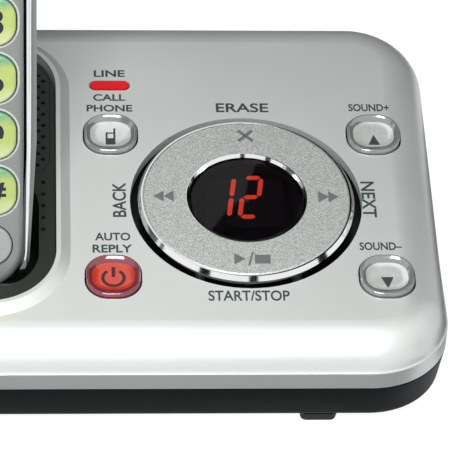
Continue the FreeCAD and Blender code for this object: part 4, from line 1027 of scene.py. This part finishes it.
@dataclass
class HandsetKeys:
    """Digits and letters printed on the handset's keys, with sizes in millimetres.

    Attributes:
        rows: Names of the keys, row by row from the lowest.
        letters: The letters beside each digit.
        rise: Height of a key's top over the face.
        digit_size: Width and height of a digit.
        one_width: Width of the digit 1.
        mark_size: Width and height of the star and the hash.
        digit_shift: How far a digit stands to the right of its key's middle.
        hash_shift: How far the hash does.
        digit_weight: Thickening of the digits' strokes.
        letter_pitch: Width that each letter takes.
        letter_height: Height of the letters.
        letter_weight: Thickening of their strokes.
        letter_place: Middle of the letters from the key's.
    """

    rows: tuple[tuple[str, ...], ...] = (
        ("star", "0", "hash"), ("7", "8", "9"), ("4", "5", "6"), ("1", "2", "3"),
    )
    letters: dict[str, str] = field(default_factory=lambda: {
        "2": "ABC", "3": "DEF", "4": "GHI", "5": "JKL", "6": "MNO", "7": "PQRS", "8": "TUV", "9": "WXYZ"})
    rise: float = 0.7
    digit_size: Pair = (3.9, 5.3)
    one_width: float = 2.2
    mark_size: Pair = (4.0, 4.0)
    digit_shift: float = 1.6
    hash_shift: float = 1.9
    digit_weight: float = 0.16
    letter_pitch: float = 0.95
    letter_height: float = 1.3
    letter_weight: float = 0.03
    letter_place: Pair = (-2.4, -0.6)

    def build(self) -> list[Piece]:
        """Print every key.

        Returns:
            The pieces.
        """
        pieces = []
        for row, names in enumerate(self.rows):
            for column, name in enumerate(names):
                piece = join(f"digit_{name}", self._print(name))
                settle(piece, key_placing(column, row, self.rise + PRINT_LEVEL))
                dress(piece, Finish.KEY_INK)
                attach(piece, f"key_{name}")
                pieces.append(piece)
        return pieces

    def _print(self, name: str) -> list[Piece]:
        """Print one key's digit or mark, and its letters, at the world's centre.

        Args:
            name: The key's name.

        Returns:
            The meshes.
        """
        mark = {"star": "*", "hash": "#"}.get(name, name)
        width, height = self.mark_size if mark in "*#" else self.digit_size
        if mark == "1":
            width = self.one_width
        shift = self.hash_shift if mark == "#" else self.digit_shift
        parts = [moved(printed_words(mark, height, width, self.digit_weight), shift, 0)]
        if name in self.letters:
            letters = self.letters[name]
            length = self.letter_pitch * len(letters)
            small = printed_words(letters, self.letter_height, length, self.letter_weight)
            parts.append(moved(small, *self.letter_place))
        return parts


@dataclass
class KeyEdgeHighlights:
    """Raised line round each number key of the handset, painted light: a painted highlight along the keys'
    edges.

    Attributes:
        width: Width over all in millimetres.
        length: Length over all.
        corner: Outer corner radius.
        height: Height of the line over the face.
        slope: Width of each of its sloping sides.
        flat: Width of its top.
        sink: How far its foot reaches under the face.
    """

    width: float = 13.2
    length: float = 11.0
    corner: float = 4.6
    height: float = 0.14
    slope: float = 0.14
    flat: float = 0.14
    sink: float = 0.02

    def build(self) -> list[Piece]:
        """Model the lines.

        Returns:
            One piece with all of them.
        """
        lines = []
        for row, names in enumerate(HandsetKeys().rows):
            for column in range(len(names)):
                lines.append(self._line())
                settle(lines[-1], key_placing(column, row, -self.sink))
        piece = join("key_edge_highlights", lines)
        # The lines' light tone is a painted highlight along the keys' edges.
        dress(piece, Finish.KEY_EDGE_HIGHLIGHT)
        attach(piece, "handset")
        return [piece]

    def _line(self) -> Piece:
        """Model one line at the world's centre.

        Returns:
            The mesh.
        """
        lay_down_tools()
        bpy.ops.mesh.primitive_plane_add(size=MM)
        line = bpy.context.object
        line.scale = (self.width, self.length, 1)
        apply_transform()
        open_for_edit()
        bpy.ops.mesh.bevel(offset=self.corner * MM, segments=CORNER_STEPS, affect="VERTICES")
        bpy.ops.mesh.select_all(action="SELECT")
        for inset, climb in ((self.slope, self.height), (self.flat, 0.0), (self.slope, -self.height)):
            bpy.ops.mesh.inset(thickness=inset * MM, depth=climb * MM)
        bpy.ops.mesh.delete(type="FACE")
        bpy.ops.object.mode_set(mode="OBJECT")
        return line


@dataclass
class NodeFinishes:
    """Finish of each CAD node that keeps its own mesh.

    Attributes:
        finishes: Each finish and the nodes that wear it.
    """

    finishes: dict[Finish, tuple[str, ...]] = field(default_factory=lambda: {
        Finish.COVER: ("top_cover",),
        Finish.TRAY: ("base_tray",),
        Finish.RUBBER: ("rubber_feet",),
        Finish.STEEL: ("case_screws", "speaker_frame"),
        Finish.INSERT: ("cradle_insert", "speaker_grille"),
        Finish.CONTACT: ("charge_contacts", "handset_contacts"),
        Finish.PAPER: ("speaker_cone",),
        Finish.BOARD: ("main_board", "handset_board"),
        Finish.BLACK: ("key_board", "tact_switches", "display_module", "display_holder", "ring_gimbal",
                       "processor", "power_socket", "line_socket", "earpiece", "microphone"),
        Finish.CHROME: ("ring_liner", "ring_trim", "handset_trim"),
        Finish.TIN: ("radio_shield", "capacitors"),
        Finish.RING: ("ring_key",),
        Finish.HANDSET: ("handset_front",),
        Finish.SHELL: ("handset_back", "battery_door"),
        Finish.KEY_PLATE: ("lower_left_key", "lower_right_key", "left_soft_key", "right_soft_key",
                           "navigation_key"),
        Finish.CALL_GREEN: ("talk_key",),
        Finish.CALL_RED: ("end_key",),
        Finish.CELL: ("battery_cells",),
        Finish.KEY_GLOW: tuple(f"key_{name}" for name in
                               ("star", "0", "hash", "1", "2", "3", "4", "5", "6", "7", "8", "9")),
        Finish.LENS: ("display_lens",),
        Finish.WINDOW: ("handset_window",),
        Finish.LAMP: ("lamp_lens",),
        Finish.DIGITS: ("lit_digits",),
        Finish.SCREEN: ("handset_display",),
    })

    def build(self) -> list[Piece]:
        """Dress the nodes.

        Returns:
            The nodes' objects.
        """
        dressed = []
        for finish, nodes in self.finishes.items():
            for name in nodes:
                dress(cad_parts[name], finish)
                dressed.append(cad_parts[name])
        return dressed


@dataclass(frozen=True)
class Lamp:
    """One soft lamp.

    Attributes:
        name: Its name.
        place: Where it hangs, in metres.
        target: What it points at.
        width: Its width in metres.
        length: Its length.
        power: Its power in watts.
    """

    name: str
    place: Triple
    target: Triple
    width: float
    length: float
    power: float

    def hang(self) -> None:
        """Put the lamp up."""
        light = bpy.data.lights.new(self.name, "AREA")
        light.shape = "RECTANGLE"
        light.size = self.width
        light.size_y = self.length
        light.energy = self.power
        holder = bpy.data.objects.new(self.name, light)
        bpy.context.scene.collection.objects.link(holder)
        holder.location = self.place
        way = Vector(self.target) - Vector(self.place)
        holder.rotation_mode = "QUATERNION"
        holder.rotation_quaternion = way.to_track_quat("-Z", "Y")
        holder.visible_camera = False


@dataclass(frozen=True)
class Card:
    """Black card that shows only where something shiny mirrors it.

    Attributes:
        name: Its name.
        place: Its middle, in metres.
        target: What it faces.
        width: Its width in metres.
        length: Its length.
        turn: Its turn about its own facing, in degrees.
    """

    name: str
    place: Triple
    target: Triple
    width: float
    length: float
    turn: float = 0.0

    def hang(self) -> None:
        """Put the card up."""
        lay_down_tools()
        bpy.ops.mesh.primitive_plane_add(size=1)
        card = bpy.context.object
        card.name = self.name
        way = Vector(self.target) - Vector(self.place)
        aim = way.to_track_quat("Z", "Y").to_matrix().to_4x4()
        size = Matrix.Diagonal((self.width, self.length, 1, 1))
        spin = Matrix.Rotation(math.radians(self.turn), 4, "Z")
        settle(card, Matrix.Translation(self.place) @ aim @ spin @ size)
        tree = ShaderTree(f"{self.name}_paint")
        tree.set(Base_Color=CARD_BLACK, Specular_IOR_Level=0.0, Roughness=1.0)
        card.data.materials.append(tree.material)
        for sight in ("camera", "diffuse", "transmission", "shadow", "volume_scatter"):
            setattr(card, f"visible_{sight}", False)


@dataclass
class Studio:
    """Pale floor, pale surroundings, a soft lamp, reflection cards and the camera.

    Attributes:
        lamps: The lamps.
        cards: The reflection cards.
        camera_place: Where the camera stands, in millimetres.
        focal_share: Its focal length in dots of a picture that is picture_width dots wide.
        side_pixels: How many such dots it looks to the right of straight on.
        down_angle: How far it looks down, in degrees.
        picture_width: Width of the picture in dots.
        sensor: Width of the camera's sensor in millimetres.
        ambient: Strength of the air as a lamp.
        floor_size: Side of the floor in metres.
        floor_level: Height of the floor in metres, a little under the feet.
        floor_colour: Colour of the floor in the lamp's light.
        floor_glow: Strength of the floor's white to the eye, in reflections and through glass.
    """

    lamps: tuple[Lamp, ...] = (
        Lamp("key_lamp", (-0.03, -0.25, 0.37), (0.01, -0.035, 0.02), 0.2, 0.2, 1.85),
    )
    cards: tuple[Card, ...] = (
        Card("lens_card", (0.0858, 0.2265, 0.348), RING_MIDDLE, 0.05, 0.07, 20),
        Card("side_card", (0.25, 0.20, 0.32), (0.06, 0.0, 0.025), 0.30, 0.34),
        Card("rear_card", (0.03, 0.125, 0.085), (0.03, 0.0, 0.085), 0.5, 0.17),
        Card("floor_card", (0.02, -0.068, 0.0004), (0.02, -0.068, 1.0), 0.23, 0.036),
        Card("right_floor_card", (0.110, 0.01, 0.0004), (0.110, 0.01, 1.0), 0.05, 0.09),
        Card("left_card", (-0.204, -0.327, 0.125), RING_MIDDLE, 0.07, 0.14),
        Card("front_card", (0.079, -0.406, 0.13), RING_MIDDLE, 0.055, 0.14),
        Card("right_card", (0.415, -0.138, 0.12), RING_MIDDLE, 0.07, 0.14),
        Card("rear_right_card", (0.427, 0.082, 0.10), RING_MIDDLE, 0.06, 0.14),
    )
    camera_place: Triple = (-4.48, -499.75, 437.51)
    focal_share: float = 3208.7
    side_pixels: float = 186.2
    down_angle: float = 40.43
    picture_width: float = 450.0
    sensor: float = 36.0
    ambient: float = 0.22
    floor_size: float = 12
    floor_level: float = -0.0002
    floor_colour: Colour = tint(128, 132, 138)
    floor_glow: float = 0.95

    def build(self) -> None:
        """Set the stage."""
        self._floor()
        self._surroundings()
        for lamp in self.lamps:
            lamp.hang()
        for card in self.cards:
            card.hang()
        self._camera()
        bpy.context.scene.view_settings.view_transform = "Standard"

    def _floor(self) -> None:
        """Lay a large pale floor that keeps the machine's shadow."""
        lay_down_tools()
        bpy.ops.mesh.primitive_plane_add(size=self.floor_size, location=(0, 0, self.floor_level))
        floor = bpy.context.object
        floor.name = "studio_floor"
        tree = ShaderTree("floor_paint")
        path = tree.add("LightPath")
        seen = tree.sum(path.outputs["Is Camera Ray"], path.outputs["Is Glossy Ray"], "MAXIMUM")
        seen = tree.sum(seen, path.outputs["Is Transmission Ray"], "MAXIMUM")
        tree.set(Base_Color=self.floor_colour, Roughness=0.9, Specular_IOR_Level=0.1, Emission_Color=WHITE,
                 Emission_Strength=tree.sum(seen, self.floor_glow, "MULTIPLY"))
        floor.data.materials.append(tree.material)
        lay_down_tools()

    def _surroundings(self) -> None:
        """Plain air all round: dim as a lamp, white to the eye, in reflections and through glass."""
        world = bpy.data.worlds.new("studio_air")
        bpy.context.scene.world = world
        world.use_nodes = True
        nodes, links = world.node_tree.nodes, world.node_tree.links
        path = nodes.new("ShaderNodeLightPath")
        strength: Socket | float = self.ambient
        for seen in ("Is Glossy Ray", "Is Transmission Ray", "Is Camera Ray"):
            mix = nodes.new("ShaderNodeMix")
            mix.inputs["B"].default_value = 1.0
            if isinstance(strength, float):
                mix.inputs["A"].default_value = strength
            else:
                links.new(strength, mix.inputs["A"])
            links.new(path.outputs[seen], mix.inputs["Factor"])
            strength = mix.outputs["Result"]
        nodes["Background"].inputs["Color"].default_value = WHITE
        links.new(strength, nodes["Background"].inputs["Strength"])

    def _camera(self) -> None:
        """Aim the camera with the horizon level."""
        down = math.radians(self.down_angle)
        forward = Vector((0, math.cos(down), -math.sin(down)))
        look = (forward + Vector((1, 0, 0)) * (self.side_pixels / self.focal_share)).normalized()
        right = (Vector((1, 0, 0)) - look * look.x).normalized()
        up = right.cross(look)
        camera = bpy.data.cameras.new("front_camera")
        camera.sensor_width = self.sensor
        camera.lens = self.focal_share / self.picture_width * self.sensor
        camera.clip_start, camera.clip_end = 0.01, 50
        holder = bpy.data.objects.new("front_camera", camera)
        bpy.context.scene.collection.objects.link(holder)
        axes = Matrix((right, up, -look)).transposed().to_4x4()
        holder.matrix_world = Matrix.Translation(Vector(self.camera_place) * MM) @ axes
        bpy.context.scene.camera = holder


def main() -> None:
    """Dress the machine and set it in its studio."""
    logging.basicConfig(level=logging.INFO, format="%(message)s")
    makers = (
        NodeFinishes(),
        PanelPrinting(),
        RingPrinting(),
        CapKey("locate_button", -26.9, 18.5, Symbol.PHONE, sign_shift=-0.9),
        CapKey("power_button", -26.9, -20.3, Symbol.POWER,
               Finish.POWER_RIM, Finish.POWER_FACE, Finish.POWER_INK),
        CapKey("volume_up_button", 26.9, 18.5, Symbol.UP, sign_shift=-1.6),
        CapKey("volume_down_button", 26.9, -20.3, Symbol.DOWN, sign_shift=-1.8),
        HandsetKeys(),
        KeyEdgeHighlights(),
    )
    for maker in makers:
        for piece in maker.build():
            log.info("%s: %s, %d faces", type(maker).__name__, piece.name, len(piece.data.polygons))
    Studio().build()


if __name__ == "__main__":
    main()
